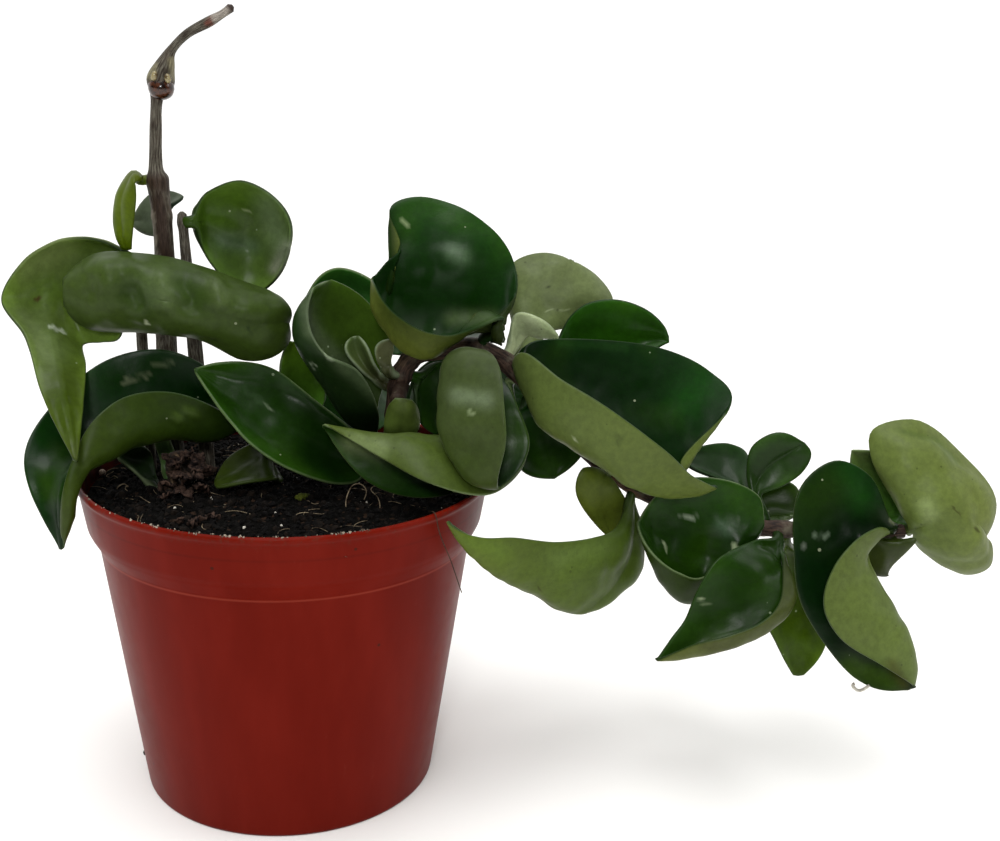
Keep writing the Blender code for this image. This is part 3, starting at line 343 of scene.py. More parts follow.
        "stem": "stem_rope", "puff": 0.2,
        "mid": [(57, 5, 117.5), (58.8, 7, 121.6), (63, 5, 122.6), (68.4, 5, 120.5)],
        "one": [(57.4, 5, 126.2), (63.5, 3, 125.2)],
        "two": [(61, 8, 120.6), (64, 7, 120)],
    },
    "leaf_taco": {
        "stem": "stem_rope", "puff": 0.6,
        "mid": [(58, 0.5, 113), (58.6, -6, 111.5), (64.3, -12, 99), (76, -14, 91.4), (86, -13.5, 85),
                (93.6, -12.5, 81), (102, -11.5, 79.4), (110.9, -10, 82)],
        "one": [(60.6, -11, 117), (70, -18, 110.2), (80, -22, 104.2), (90, -23, 97.4), (98, -20, 91.6),
                (105, -15.5, 86)],
        "two": [(62, -2, 119.9), (77, 4, 121.1), (94.5, 7, 119.3), (107.6, 5, 113.6),
                (113.8, 0, 105.2), (101, -8, 89.4)],
    },
    "leaf_scoop": {
        "stem": "stem_rope", "puff": 1.4,
        "mid": [(89, -2, 78), (89.6, -6, 70), (88, -10, 58.4), (77, -17, 46.7), (63.6, -22, 51.4),
                (52, -30, 58.6), (41.8, -36, 70.2)],
        "one": [(85.3, -12, 70), (79.4, -19, 67.2), (70, -25, 66.3), (59, -31, 67.2), (50, -35, 67.3)],
        "two": [(92.3, -2, 66), (91.6, 0, 58), (80, -6, 57.5), (67, -15, 60.5), (54, -27, 64.5)],
    },
    "leaf_hanging": {
        "stem": "stem_rope", "puff": 0.4,
        "mid": [(82, -3, 84.5), (81, -5, 82), (81, -5, 77), (84.5, -3, 67)],
        "one": [(76, -6, 86), (75.2, -7, 78)],
        "two": [(86.4, -2.4, 80), (88.2, -1.2, 75.4)],
    },
    "leaf_beak": {
        "stem": "stem_rope", "puff": 0.4,
        "mid": [(119.3, 3, 74.5), (117, 9, 84), (112, 12, 87.3), (106, 12, 88.8), (101, 11, 89.8)],
        "one": [(119, 15, 90), (114, 16, 94), (107, 15, 93.3)],
        "two": [(116, 7, 82), (111, 8, 84.3), (105, 8, 86.5)],
    },
    "leaf_oval_top": {
        "stem": "stem_rope", "puff": -0.5, "tip": 1.4,
        "mid": [(123.6, 1.5, 74.2), (121.4, 3, 80), (121.6, 5, 84.6), (125, 5.5, 89), (129, 5, 92.2),
                (132.4, 4.5, 94.6)],
        "one": [(119.6, 4, 80.8), (118.4, 5.5, 87.4), (119.4, 5.5, 93.6), (125.2, 5, 97.4)],
        "two": [(122, 3.5, 80), (127.4, 3, 82.2), (132.4, 3.5, 86), (134.7, 4, 90.6)],
    },
    "leaf_glossy": {
        "stem": "stem_rope", "puff": 0.6,
        "mid": [(122, -4, 69.5), (118, -7, 61), (111, -8, 53), (106, -8, 52.2), (100.4, -9, 57.5),
                (96.2, -10, 63.5), (91.3, -11, 71.5)],
        "one": [(119, -12, 63.5), (109, -16, 57), (103, -18, 58.3), (97.5, -18, 61.7), (93.3, -15, 66.5)],
        "two": [(124.6, -6, 74), (122.6, -4, 81), (114, -3, 85.2), (103, -4, 85.3), (95.5, -6, 80.3)],
        "swells": [(0.4, -0.4, 0.16, 0.45, 4), (0.62, -0.25, 0.1, 0.3, 2.2)],
    },
    "leaf_pointed": {
        "stem": "stem_rope", "puff": 1,
        "mid": [(128, -3, 68.5), (128.5, -9, 62), (131, -16, 54), (127.6, -20, 46), (119, -24, 39),
                (108.5, -25, 34.8), (98.7, -25, 32.6)],
        "one": [(130, -12, 60), (130, -21, 51), (126, -27, 45), (117, -30, 40.4), (106.5, -29, 37.6)],
        "two": [(121.4, -10, 68), (112, -18, 62.6), (107, -21, 53.5), (104.3, -22, 45),
                (100.6, -24, 38.8)],
        "swells": [(0.24, -0.45, 0.06, 0.3, 2), (0.5, -0.2, 0.12, 0.4, 1.6)],
    },
    "leaf_drooping": {
        "stem": "stem_rope", "puff": 0.4, "tip": 1.6,
        "mid": [(130, 1, 68.5), (130, 5, 63), (131.5, 6, 52), (135.5, 5, 40), (137, 3, 29.3)],
        "one": [(125, 4, 60), (125.2, 2, 48.4), (130.4, 2, 38.3)],
        "two": [(135, 7, 62), (141, 7, 50), (143.8, 5, 39)],
    },
    "leaf_olive_up": {
        "stem": "stem_rope", "puff": 0.3,
        "mid": [(128, 3.5, 73), (126.6, 9, 75.5), (125.6, 12, 80), (125.4, 13, 84.5)],
        "one": [(122.2, 9.5, 75), (121, 12, 81)],
        "two": [(132.6, 8, 75.5), (132.2, 11, 82.5)],
    },
    "leaf_big_right": {
        "stem": "stem_rope", "puff": 0.7, "tip": 1.5,
        "mid": [(158, -1, 72.5), (154.2, -5, 70.4), (151.6, -7, 67), (151.8, -9, 62.5), (155, -10, 57),
                (159.5, -11, 50.5), (164, -12, 43), (167.5, -13, 35), (167.8, -14, 26.4)],
        "one": [(154.5, -8, 73), (148.8, -12, 69.2), (143.8, -16, 62.3), (141, -19, 54),
                (141.8, -21, 46), (147.5, -21, 38.3), (159, -19, 31.7)],
        "two": [(156, -2.5, 78), (150, 0, 87.5), (140, 1, 91), (131.3, -2, 82.5), (130.8, -6, 66),
                (134.6, -10, 47.8), (150.2, -13, 28.2)],
    },
    "leaf_green_gap": {
        "stem": "stem_rope", "puff": 0.3,
        "mid": [(158, 5.5, 73), (160.5, 9.5, 78), (154.5, 10, 86), (145.4, 7, 93)],
        "one": [(150.4, 8, 76.5), (145.6, 6, 86)],
        "two": [(166.5, 9, 72.5), (161, 9, 88.5)],
    },
    "leaf_olive_low": {
        "stem": "stem_rope", "puff": 0.3, "tip": 2,
        "mid": [(157.5, 1, 69.5), (157, -3.6, 68), (156.4, -2.5, 63.5), (156.2, 0, 58.8)],
        "one": [(152.6, -3.2, 71), (151, 0, 62)],
        "two": [(164.8, -5, 69.4), (158.8, 0, 61.5)],
    },
    "leaf_bulb": {
        "stem": "stem_rope", "puff": 0.8,
        "mid": [(162.5, 1, 72), (165.5, -4, 73.5), (168, -5, 75), (171, -6, 76), (174, -6, 76),
                (177, -5, 75), (180, -3, 73), (182, 0, 70.2)],
        "one": [(157.5, 3, 79.5), (149.9, 4, 91.3), (149.7, 6, 99.4), (161, 7, 101.6),
                (172.4, 6, 93.6), (182.9, 4, 82.5)],
        "two": [(163.8, 3, 68.6), (167.6, 3, 65), (173, 3, 61.6), (178.8, 3, 59.8), (184.4, 2, 62.2),
                (184.1, 1, 68)],
    },
    "leaf_rear_middle": {
        "stem": "stem_short", "puff": 0.6,
        "mid": [(-7, 9.5, 89), (1, 14, 95.5), (10, 20, 101), (19, 29, 104.5), (27, 40, 105)],
        "one": [(-7, 15, 101), (2, 21, 110.5), (16, 30, 117.5)],
        "two": [(8, 14, 90), (18, 20, 92), (26, 29, 97)],
    },
    "leaf_rear_right": {
        "stem": "stem_rope", "puff": 0.6,
        "mid": [(29.5, 7, 100), (36, 13, 103), (44, 18, 105.5), (52, 24, 106), (62, 31, 104)],
        "one": [(34, 12, 111.5), (43, 17, 116), (52, 23, 114)],
        "two": [(38, 13, 96), (46, 18, 96.5), (56, 25, 97)],
    },
    "leaf_rear_left": {
        "stem": "stem_upright", "puff": 0.6,
        "mid": [(-31, 12, 112), (-32, 20, 110), (-35, 32, 106), (-38, 43, 101), (-40, 52, 96)],
        "one": [(-38, 20, 112), (-43, 32, 108), (-44, 43, 102)],
        "two": [(-25, 21, 109), (-28, 33, 104), (-33, 44, 99)],
    },
    "leaf_rear_crown": {
        "stem": "stem_rope", "puff": 0.6,
        "mid": [(46, 3.5, 118), (45, 10, 118), (42, 20, 121), (39, 30, 122), (37, 38, 119)],
        "one": [(40, 11, 121), (35, 20, 125), (34, 30, 125)],
        "two": [(50, 11, 120), (49, 20, 123), (45, 30, 123)],
    },
    "leaf_rear_taco": {
        "stem": "stem_rope", "puff": 0.6,
        "mid": [(81, 4, 88.5), (82, 9, 90), (85, 17, 93), (89, 25, 93), (94, 31, 89)],
        "one": [(80, 9, 97), (83, 18, 102), (90, 26, 100)],
        "two": [(86, 8, 86), (91, 15, 87), (95, 22, 87)],
    },
    "leaf_rear_low": {
        "stem": "stem_rope", "puff": 0.6,
        "mid": [(110, 3, 73), (109, 8, 72), (107, 16, 70), (103, 24, 65), (100, 30, 60)],
        "one": [(104, 9, 76), (100, 16, 74), (97, 24, 68)],
        "two": [(115, 9, 71), (113, 17, 66), (108, 24, 61)],
    },
    "leaf_rear_end": {
        "stem": "stem_rope", "puff": 0.6,
        "mid": [(142, 4, 72), (142, 9, 74), (140, 16, 76), (139, 24, 73), (139, 31, 67)],
        "one": [(136.5, 10, 77), (133.5, 16, 79), (134, 24, 75)],
        "two": [(147, 9, 76), (147, 17, 77), (145, 24, 73)],
    },
}

# Each leaf's colours as sRGB hex: upper face at the base and the tip, under face at the base and
# the tip, and margin. The last number is how deep the dimples are. A leaf that isn't listed has
# OTHER_LOOK, and the upper faces have clouds of fresh green.
LOOKS = {
    "leaf_pan": ("2A410B", "4A5F27", "4C5A34", "525F3A", "16240F", 0.5),
    "leaf_back_small": ("27382A", "2B3D2C", "434E3C", "4B5540", "1B2A1C", 0.2),
    "leaf_yellow": ("5A6604", "4E5E08", "485102", "3B5102", "3C4A10", 0.3),
    "leaf_pod": ("2C4010", "30461A", "273808", "39491D", "2A3818", 1.0),
    "leaf_left": ("4D6424", "333E0D", "4E5C30", "505E24", "22321A", 0.6),
    "leaf_rim": ("021B02", "062202", "1A2F03", "354310", "34462A", 0.5),
    "leaf_soil_left": ("101E0A", "273D1E", "1E3014", "26381C", "7C8A66", 0.2),
    "leaf_sprig": ("466332", "53703C", "26381A", "304224", "667650", 0.2),
    "leaf_soil_olive": ("233406", "2C340E", "3A481C", "46542A", "4C5A30", 0.3),
    "dried_leaf": ("2A1C12", "4A3624", "35261A", "5A4430", "6A5236", 2.4),
    "leaf_long": ("031202", "1B3806", "26381A", "2E4020", "5A6E44", 0.5),
    "leaf_gap": ("36631C", "38500B", "40503A", "48583E", "566644", 0.3),
    "leaf_funnel": ("2F4110", "293E0C", "061004", "1A300E", "5A684A", 0.4),
    "leaf_behind_funnel": ("204C16", "29561C", "3A4A24", "3E4D28", "5A6A44", 0.4),
    "leaf_inner_round": ("2E2D18", "3B4A26", "44543A", "4A5A3E", "7A886A", 0.2),
    "leaf_wedge": ("1D1D0F", "5D6142", "44543A", "4A5A3E", "7A886A", 0.2),
    "leaf_oval": ("3E4E26", "485830", "596E2E", "43511F", "5A6A44", 0.2),
    "leaf_dark_inner": ("1B3806", "102806", "1A2C0E", "223416", "34462A", 0.3),
    "leaf_lower": ("16330C", "152F06", "354616", "475620", "6A7A50", 0.6),
    "leaf_convex": ("051802", "091D02", "3E492C", "334211", "3A4A24", 0.6),
    "leaf_dark_low": ("052B02", "1D3707", "223410", "2A3C18", "26381A", 0.4),
    "leaf_crown": ("112F06", "0A2803", "101709", "778234", "1E3818", 0.8),
    "leaf_light_back": ("14300C", "183410", "5B693A", "5C6740", "2A3A20", 0.5),
    "leaf_dark_right": ("184203", "1D4205", "3A4A26", "3E4D28", "12260C", 0.4),
    "leaf_scrap": ("687452", "6E7A58", "919A75", "BBCE97", "7A8666", 0.2),
    "leaf_taco": ("021202", "072302", "526130", "525F27", "1E3512", 0.6),
    "leaf_scoop": ("2A3E14", "30441A", "344810", "536221", "3A4A26", 0.7),
    "leaf_hanging": ("3E4E1C", "46561E", "293607", "72812C", "4C5C30", 0.3),
    "leaf_beak": ("0C1F06", "1F3816", "24361A", "2A3C20", "16240F", 0.3),
    "leaf_oval_top": ("1C310F", "203711", "2A3C20", "2E4024", "16240F", 0.3),
    "leaf_glossy": ("0B1F03", "173403", "213105", "253607", "5A6A46", 0.6),
    "leaf_pointed": ("0F2403", "1B3409", "0D1D05", "545C27", "26381A", 0.5),
    "leaf_drooping": ("2B3E02", "334704", "3C4C14", "46561E", "33431A", 0.4),
    "leaf_olive_up": ("1D3004", "1F3404", "33431A", "3A4A20", "44542E", 0.3),
    "leaf_big_right": ("031402", "031602", "4F5C2C", "57662F", "33451F", 0.5),
    "leaf_green_gap": ("39661C", "3D4A24", "34482A", "8A9478", "5A6A44", 0.3),
    "leaf_olive_low": ("232F0C", "2A330A", "46542A", "4C5A2E", "5A6A40", 0.3),
    "leaf_bulb": ("2A3E14", "30441A", "57682F", "606A33", "4A5A30", 0.8),
}
OTHER_LOOK = ("12300A", "1A380F", "48582E", "525F38", "34462A", 0.5)
FRESH_GREEN = "4E6A10"

# Marks up to this reach have a crisp edge, which wanders by up to the wobble
FINE_MARK = 1.0
FINE_SHARPNESS = 4
MARK_WOBBLE = 1.1

# A leaf's marks, painted highlights and painted shade fade out as its surface turns away from the front, and
# are gone at this slant
TURNED_AWAY = 0.35

# Marks seen in the photograph: the piece, the two ends as across and up, the reach, the colour, how
# fully it covers, and the shine. Shine is the share of its gloss that a leaf keeps, and the polish
# of a stem. On each piece a later mark lies over the earlier ones.
# Besides real spots, scratches and colour patches, some rows are painted highlights and painted shade, each
# noted above its rows.
MARKS_AND_PAINTED_LIGHT = [
    ("leaf_left", (-55.3, 140), (-63.1, 133.4), 4.5, "7E8E54", 0.55, 0.9),
    ("leaf_left", (-60.4, 118.3), (-58.5, 113), 3.5, "66774A", 0.4, 0.9),
    ("leaf_left", (-57.3, 100.2), (-56.5, 92), 3.6, "304202", 0.6, 0.15),
    ("leaf_pod", (-35, 130), (-32, 128.6), 3.6, "607248", 0.4, 1),
    ("leaf_rim", (-45, 106), (-33, 110.5), 3.2, "0A2401", 0.6, 0.3),
    ("leaf_rim", (-58.8, 85.5), (-58, 82), 3, "1A3400", 0.5, 0.3),
    ("leaf_rim", (-63.5, 80), (-61.5, 75), 3, "2B440C", 0.4, 0.8),
    ("leaf_yellow", (-40.5, 152), (-40, 140), 3.5, "5A6C02", 0.5, 0.2),
    # Painted highlight: a broad pale reflection on the pan leaf
    ("leaf_pan", (-15.2, 142.2), (-7.9, 141), 2.2, "5C7056", 0.5, 1),
    ("leaf_pan", (0.6, 141.5), (-2.4, 135.4), 1.5, "808272", 0.6, 0.8),
    # Painted shade over the lower part of the long leaf, with less gloss
    ("leaf_long", (6, 88), (13, 83.5), 4.5, "010A01", 0.5, 0.3),
    ("leaf_lower", (16.5, 91), (23.5, 89.6), 2.8, "7C8C5C", 0.6, 0.9),
    # Painted shade at the top of the convex leaf, dulled, then a painted highlight band below it
    ("leaf_convex", (43, 112), (50.5, 112), 4, "2E3A18", 0.5, 0.3),
    ("leaf_convex", (43.5, 104.4), (50.5, 103.4), 2.3, "6C7A5E", 0.55, 1),
    ("leaf_scrap", (61.3, 123.8), (61.3, 121), 2.8, "B4BE98", 0.6, 0.9),
    # Painted shade on the scoop's right side, dulled to hold back its reflection
    ("leaf_scoop", (86.5, 60.5), (88, 55.5), 3, "3A4A14", 0.4, 0.3),
    ("leaf_beak", (106, 56.5), (111, 55), 3, "173007", 0.5, 0.3),
    ("leaf_beak", (116.5, 68.5), (120, 66), 3, "143200", 0.4, 0.3),
    ("leaf_pointed", (113, 36.2), (118.5, 36.2), 2.4, "3E4226", 0.6, 0.3),
    ("leaf_glossy", (139.5, 81), (142.5, 77.5), 3.4, "082204", 0.5, 0.3),
    ("leaf_glossy", (148.5, 38.5), (152.5, 35.5), 3.4, "0F2B00", 0.5, 0.3),
    ("leaf_olive_up", (165, 33), (166, 29.5), 2.2, "77824C", 0.5, 0.9),
    ("stem_upright", (-11.9, 197.1), (-11.5, 196.9), 1.2, "2A1812", 0.95, 0.5),
    ("stem_upright", (-15.5, 194.6), (-12.9, 196.2), 1.1, "A8A096", 0.75, 0.4),
    ("stem_upright", (-17.2, 193.2), (-16.7, 193.6), 1, "5E3226", 0.9, 0.4),
    ("stem_upright", (-30.6, 183.7), (-31.2, 180.9), 1.2, "7C7659", 0.8, 0.35),
    ("stem_upright", (-25.6, 184.3), (-25.2, 181.1), 1.2, "7C7659", 0.8, 0.35),
    ("stem_upright", (-29.9, 177.7), (-27, 177.8), 2.2, "2A140B", 0.95, 0.9),
    ("stem_upright", (-32.6, 155.9), (-28.2, 155.5), 2.2, "2E1F14", 0.9, 0.3),
    ("stem_upright", (-30.6, 151.6), (-29.2, 136.4), 2, "2A1A10", 0.9, 0.2),
    ("stem_upright", (-32.6, 150.3), (-31.5, 136.4), 0.5, "857C6E", 0.6, 0.1),
    ("stem_rope", (40.9, 117), (44.4, 117.4), 1.2, "5E4C3C", 0.6, 0.1),
    ("stem_rope", (28.8, 112), (31.9, 113.9), 1, "564636", 0.6, 0.1),
    ("stem_rope", (83.4, 83.1), (91.4, 78.7), 0.7, "6A4C36", 0.7, 0.1),
    ("leaf_crown", (25.4, 150.3), (25.7, 138.1), 3.2, "0F260A", 0.95, 0.5),
    ("leaf_crown", (25.9, 137.1), (26.2, 130.6), 2.2, "0C1F08", 0.95, 0.3),
    # Painted shade deep in the crown's bowl, with no gloss
    ("leaf_crown", (31.2, 129.6), (46.1, 128.4), 13, "071C03", 0.97, 0),
    ("leaf_crown", (53.6, 129.4), (55.4, 137), 3.4, "0B2506", 0.7, 0.3),
    # Painted light along the crown's rolled lip, then a painted highlight on the back wall of its bowl
    ("leaf_crown", (42, 124.2), (51.5, 124.8), 2, "50623A", 0.4, 0.6),
    ("leaf_crown", (41.4, 141), (43.9, 140.1), 2.2, "5C7455", 0.45, 1),
    ("leaf_crown", (28.8, 148.3), (30.5, 146.6), 0.3, "9AAA7C", 0.5, 1),
    ("leaf_funnel", (4.6, 128.9), (6.7, 120.3), 2, "465339", 0.75, 0.6),
    ("leaf_funnel", (6.7, 120.3), (15, 111.3), 2, "465339", 0.75, 0.6),
    ("leaf_funnel", (15, 111.3), (23.3, 103.7), 2, "3C4A30", 0.75, 0.6),
    ("leaf_funnel", (6.4, 112.1), (7.4, 110.6), 0.3, "8E9A82", 0.7, 1),
    ("leaf_funnel", (9.2, 114.8), (11.4, 112.8), 0.3, "7E8A70", 0.6, 1),
    ("leaf_convex", (44.6, 84.6), (48.3, 88.8), 4.4, "2C3A14", 0.4, 1),
    ("leaf_convex", (46.8, 100.2), (48.8, 100.5), 0.3, "8E9C74", 0.5, 1),
    ("leaf_left", (-60.4, 130), (-58.4, 129.5), 3.9, "446010", 0.4, 1),
    ("leaf_left", (-61.9, 126.4), (-61.7, 125.7), 0.6, "3A2A14", 0.85, 0.5),
    ("leaf_left", (-59.1, 119.1), (-55.9, 117.9), 0.6, "A4AE98", 0.75, 1),
    ("leaf_left", (-65.5, 121.2), (-61, 112.6), 2.9, "5E6B45", 0.45, 1),
    # Painted shade in the pod leaf's two hollows, then painted highlights on the ridges between them
    ("leaf_pod", (-37.8, 128.7), (-36.1, 126.7), 4.4, "24380E", 0.6, 1),
    ("leaf_pod", (-24.5, 130.1), (-22.6, 128.1), 4.4, "22360C", 0.6, 1),
    ("leaf_pod", (-30.4, 132.9), (-29.6, 126.9), 2, "5A6A42", 0.4, 1),
    ("leaf_pod", (-17.5, 130.8), (-15.7, 127.3), 2.2, "56653F", 0.4, 1),
    ("leaf_pod", (-9.1, 120.1), (-8.9, 119.6), 0.5, "12200A", 0.8, 0.6),
    ("leaf_pod", (-34.9, 121.1), (-34.9, 120.6), 0.3, "B4BC9C", 0.7, 1),
    ("leaf_rim", (-41.7, 105.1), (-34.5, 107.5), 0.7, "7C8264", 0.3, 0.8),
    ("leaf_rim", (-33.4, 109.8), (-28.3, 110.8), 0.6, "727C5C", 0.28, 0.8),
    # Painted highlights on the blisters of the rim leaf's roll
    ("leaf_rim", (-25.7, 98.5), (-23.2, 97.5), 1.2, "4A5E26", 0.45, 1),
    ("leaf_rim", (-28.3, 96.8), (-27.3, 95.8), 1, "4A5E26", 0.4, 1),
    ("leaf_pan", (-3.7, 150.9), (-0.5, 141.2), 3.7, "5E6D52", 0.5, 0.8),
    ("leaf_pan", (-9.1, 150.3), (-7.9, 149.4), 0.3, "98A27A", 0.7, 1),
    ("leaf_pan", (-16.5, 148.6), (-10.5, 152.2), 3.9, "3A5608", 0.5, 1),
    ("leaf_bulb", (156.7, 98.6), (166.1, 96.5), 0.7, "475821", 0.6, 1),
    ("leaf_bulb", (166.1, 96.5), (172, 90.5), 0.7, "4B5C25", 0.6, 1),
    ("leaf_bulb", (173, 77.9), (174.7, 76.9), 0.3, "2E2A14", 0.7, 0.5),
    ("leaf_bulb", (178.8, 73.1), (180.3, 71.8), 0.3, "2E2A14", 0.7, 0.5),
    # Painted highlight on the bulb leaf
    ("leaf_bulb", (165.6, 79.1), (167, 76.4), 2.2, "8C9C66", 0.5, 1),
    ("leaf_soil_olive", (-15.5, 79.4), (-6.7, 80.8), 5.9, "26340C", 0.7, 0.2),
    # Painted highlight on the big right leaf
    ("leaf_big_right", (138.5, 69.4), (140.3, 69.1), 0.6, "7C8E76", 0.5, 1),
    ("leaf_big_right", (134.3, 67), (134.5, 66.7), 0.3, "B8C0B0", 0.9, 1),
    ("leaf_big_right", (157.6, 74.1), (158.8, 75), 0.9, "8A9072", 0.6, 0.6),
    ("leaf_big_right", (151.2, 31.8), (162.4, 28), 3.9, "30480C", 0.85, 0.7),
    ("leaf_big_right", (161.8, 33.3), (165.7, 27.5), 1.7, "3A380D", 0.6, 0.7),
    ("leaf_big_right", (145, 87.7), (148.9, 79.7), 3.9, "14400A", 0.5, 1),
    ("leaf_glossy", (102.1, 73.5), (104.3, 72.7), 0.5, "8E9A84", 0.6, 1),
    ("leaf_glossy", (104.3, 72.7), (106.7, 74.5), 0.5, "8E9A84", 0.6, 1),
    # Painted highlight on the glossy leaf
    ("leaf_glossy", (112.7, 71.3), (114.4, 70), 1.7, "4F6550", 0.45, 1),
    ("leaf_glossy", (116.7, 73.7), (117, 73.4), 0.3, "B8BFAE", 0.9, 1),
    ("leaf_glossy", (116.8, 65.9), (117.4, 65.3), 0.5, "93A07C", 0.8, 0.8),
    ("leaf_glossy", (98.7, 65.9), (99.6, 64.2), 0.4, "93A07C", 0.8, 0.8),
    ("leaf_pointed", (109.2, 50.3), (109.8, 49.7), 0.4, "93A07C", 0.8, 0.8),
    ("leaf_pointed", (110.9, 49.5), (111.2, 49.2), 0.3, "93A07C", 0.8, 0.8),
    ("leaf_oval", (124.6, 94.1), (125.1, 93.8), 0.4, "98A088", 0.7, 0.8),
    ("leaf_taco", (85.1, 95), (85.5, 92.3), 0.6, "38421E", 0.6, 0.8),
    ("leaf_taco", (73.6, 94.1), (74.4, 93.6), 0.4, "A8B090", 0.6, 0.8),
    # Painted highlight along the taco's upper margin, then painted shade inside it, dulled
    ("leaf_taco", (69, 118.7), (85.4, 118.3), 1.1, "24481A", 0.3, 1),
    ("leaf_taco", (76, 114.5), (93, 108.5), 5, "041A01", 0.5, 0.3),
    ("leaf_taco", (102.1, 105.1), (105.8, 109.4), 5.4, "14420A", 0.5, 1),
    ("leaf_light_back", (63.9, 127.7), (65.6, 127.7), 0.3, "98A47C", 0.6, 1),
    ("leaf_light_back", (68.9, 126.8), (70.4, 127.4), 0.3, "98A47C", 0.5, 1),
    ("leaf_light_back", (65.7, 133), (65.9, 132.8), 0.4, "1E240F", 0.8, 0.6),
    ("leaf_scoop", (66.4, 52.4), (66.7, 52.1), 0.5, "30300F", 0.8, 0.6),
    # Painted highlight on the scoop's middle
    ("leaf_scoop", (71.4, 60.5), (81.7, 64.2), 3.4, "5C7034", 0.4, 1),
    ("leaf_scoop", (47.6, 65.4), (55.5, 62.2), 2.9, "56701C", 0.4, 1),
    ("leaf_long", (-6.2, 101.2), (-4, 98.9), 0.3, "7E8C72", 0.5, 1),
    ("leaf_long", (-11, 104.8), (-5.7, 100.7), 1, "2E4426", 0.4, 1),
]

# Dents and swellings of the blades seen in the photograph: the leaf, the two ends as across and up,
# the reach, and the height towards the upper face
DENTS = [
    ("leaf_pod", (-37.8, 128.7), (-36.9, 126.2), 3.4, 1.8),
    ("leaf_pod", (-24.5, 130.1), (-23.1, 127.1), 3.4, 1.8),
    ("leaf_pod", (-30.4, 132.9), (-30, 125.3), 1.5, -0.8),
    ("leaf_pod", (-17, 131.3), (-16.2, 126.3), 1.7, -0.8),
    ("leaf_pod", (-10.3, 120.8), (-7.3, 119.9), 2, 0.6),
    ("leaf_crown", (41, 140.3), (44.4, 139.1), 2.7, 0.8),
    ("leaf_crown", (36, 143.8), (38.6, 136.5), 2.9, -0.5),
    ("leaf_pan", (-14.2, 144.3), (-11.7, 143.4), 2.2, 0.5),
    ("leaf_pan", (-6.3, 146.5), (-5.3, 143.6), 2.2, 0.5),
    ("leaf_pan", (-10.8, 140.9), (-8.4, 140), 2, -0.5),
    ("leaf_rim", (-25.2, 98.3), (-23.7, 97.5), 1.2, -0.5),
    ("leaf_rim", (-28.9, 96.3), (-27.9, 95.8), 1, -0.4),
    ("leaf_rim", (-20.5, 100.8), (-19.5, 100.3), 1.2, -0.4),
    ("leaf_bulb", (155.6, 98.8), (166.1, 96.5), 1.2, 0.5),
    ("leaf_bulb", (166.1, 96.5), (173.1, 89.7), 1.2, 0.5),
    ("leaf_bulb", (164.4, 80.1), (167, 76.4), 2.9, -0.5),
    ("leaf_left", (-59.6, 118.8), (-55.2, 117.7), 1.2, -0.5),
    ("leaf_left", (-63.5, 128.4), (-62.1, 125.9), 3.4, -0.5),
    ("leaf_left", (-58.1, 126), (-57.3, 123.5), 2.5, 0.5),
    ("leaf_glossy", (111.6, 71.9), (114.9, 69.7), 2.9, 0.7),
    ("leaf_glossy", (108.1, 62.8), (113.4, 61.8), 2.5, -0.6),
    ("leaf_pointed", (119.3, 60.3), (122.1, 58.1), 2.7, 0.6),
    ("leaf_scoop", (74.2, 56.3), (79.3, 59.3), 3.4, -0.6),
    ("leaf_convex", (43.5, 104.4), (50.5, 103.4), 2.2, -0.4),
    ("leaf_light_back", (68.5, 129.8), (75.9, 131.1), 2.9, -0.5),
]

# Small things at their true places. Lumps: the piece, its place, its half sizes, how it is turned in
# degrees, how uneven it is, its finish, its slot and its seed.
JOINT_LUMPS = [
    ("node_cup", (-30.5, 7.3, 178.0), (3.2, 3.1, 3.0), (0, 6, 0), 0.04, "bud", "stem_grey", 0),
    ("node_bud_0", (-31.5, 4.9, 180.8), (0.8, 0.7, 1.2), (0, 16, 0), 0.05, "eye", "stem_grey", 0),
    ("node_bud_1", (-28.2, 4.9, 180.3), (0.8, 0.7, 1.2), (0, -16, 0), 0.05, "eye", "stem_grey", 1),
]
SOIL_LUMPS = [
    ("feed_bead", (-49.0, 3.0, 80.0), (0.9, 0.9, 0.9), (0, 0, 0), 0.04, "bead", "soil", 0),
    ("moss_tuft", (5.3, -10.6, 79.8), (1.9, 1.5, 0.9), (0, 0, 30), 0.5, "moss", "soil", 7),
    ("wall_crumb", (-38.6, -6.0, 3.4), (0.8, 0.7, 0.7), (0, 0, 0), 0.3, "mix", "soil", 3),
]

# Threads: the piece, its radius, its finish, its slot and its line. The cut stub is on the rope, the
# root hair hangs over the rim, the dry curl is under the leaf tip at the right, and the curled
# roots are on the soil.
THREAD_SIDES = 8
THREADS = [
    ("cut_stub", 1.9, "red", "stem_red", [(29.2, 3.0, 107.0), (28.9, -1.0, 105.3), (28.6, -5.0, 104.2)]),
    ("rim_root_hair", 0.13, "hair", "stem_red",
     [(39.2, -32.6, 84.9), (40.2, -34.2, 84.4), (40.9, -32.4, 80.1), (42.0, -29.8, 75.7),
      (43.6, -26.8, 70.4), (45.3, -24.0, 63.9), (46.3, -22.5, 60.2)]),
    ("dry_tip_curl", 0.4, "grit", "leaf_green",
     [(152.0, -14.0, 34.0), (150.3, -14.0, 32.6), (149.0, -14.0, 32.5), (147.8, -14.0, 33.6),
      (148.2, -14.0, 34.3)]),
    ("soil_curl_0", 0.13, "fibre", "soil",
     [(17.0, -15.9, 79.3), (17.0, -14.1, 81.3), (18.0, -11.4, 83.3), (19.9, -10.3, 83.5),
      (21.5, -11.3, 82.3), (21.0, -12.0, 79.9)]),
    ("soil_curl_1", 0.13, "fibre", "soil",
     [(25.4, -15.9, 79.3), (24.7, -13.6, 81.1), (22.6, -10.0, 81.9), (23.7, -8.6, 82.5)]),
    ("soil_curl_2", 0.13, "fibre", "soil",
     [(-42.1, -7.6, 79.3), (-41.4, -8.1, 80.3), (-40.1, -8.2, 80.9), (-39.3, -7.5, 79.9)]),
]

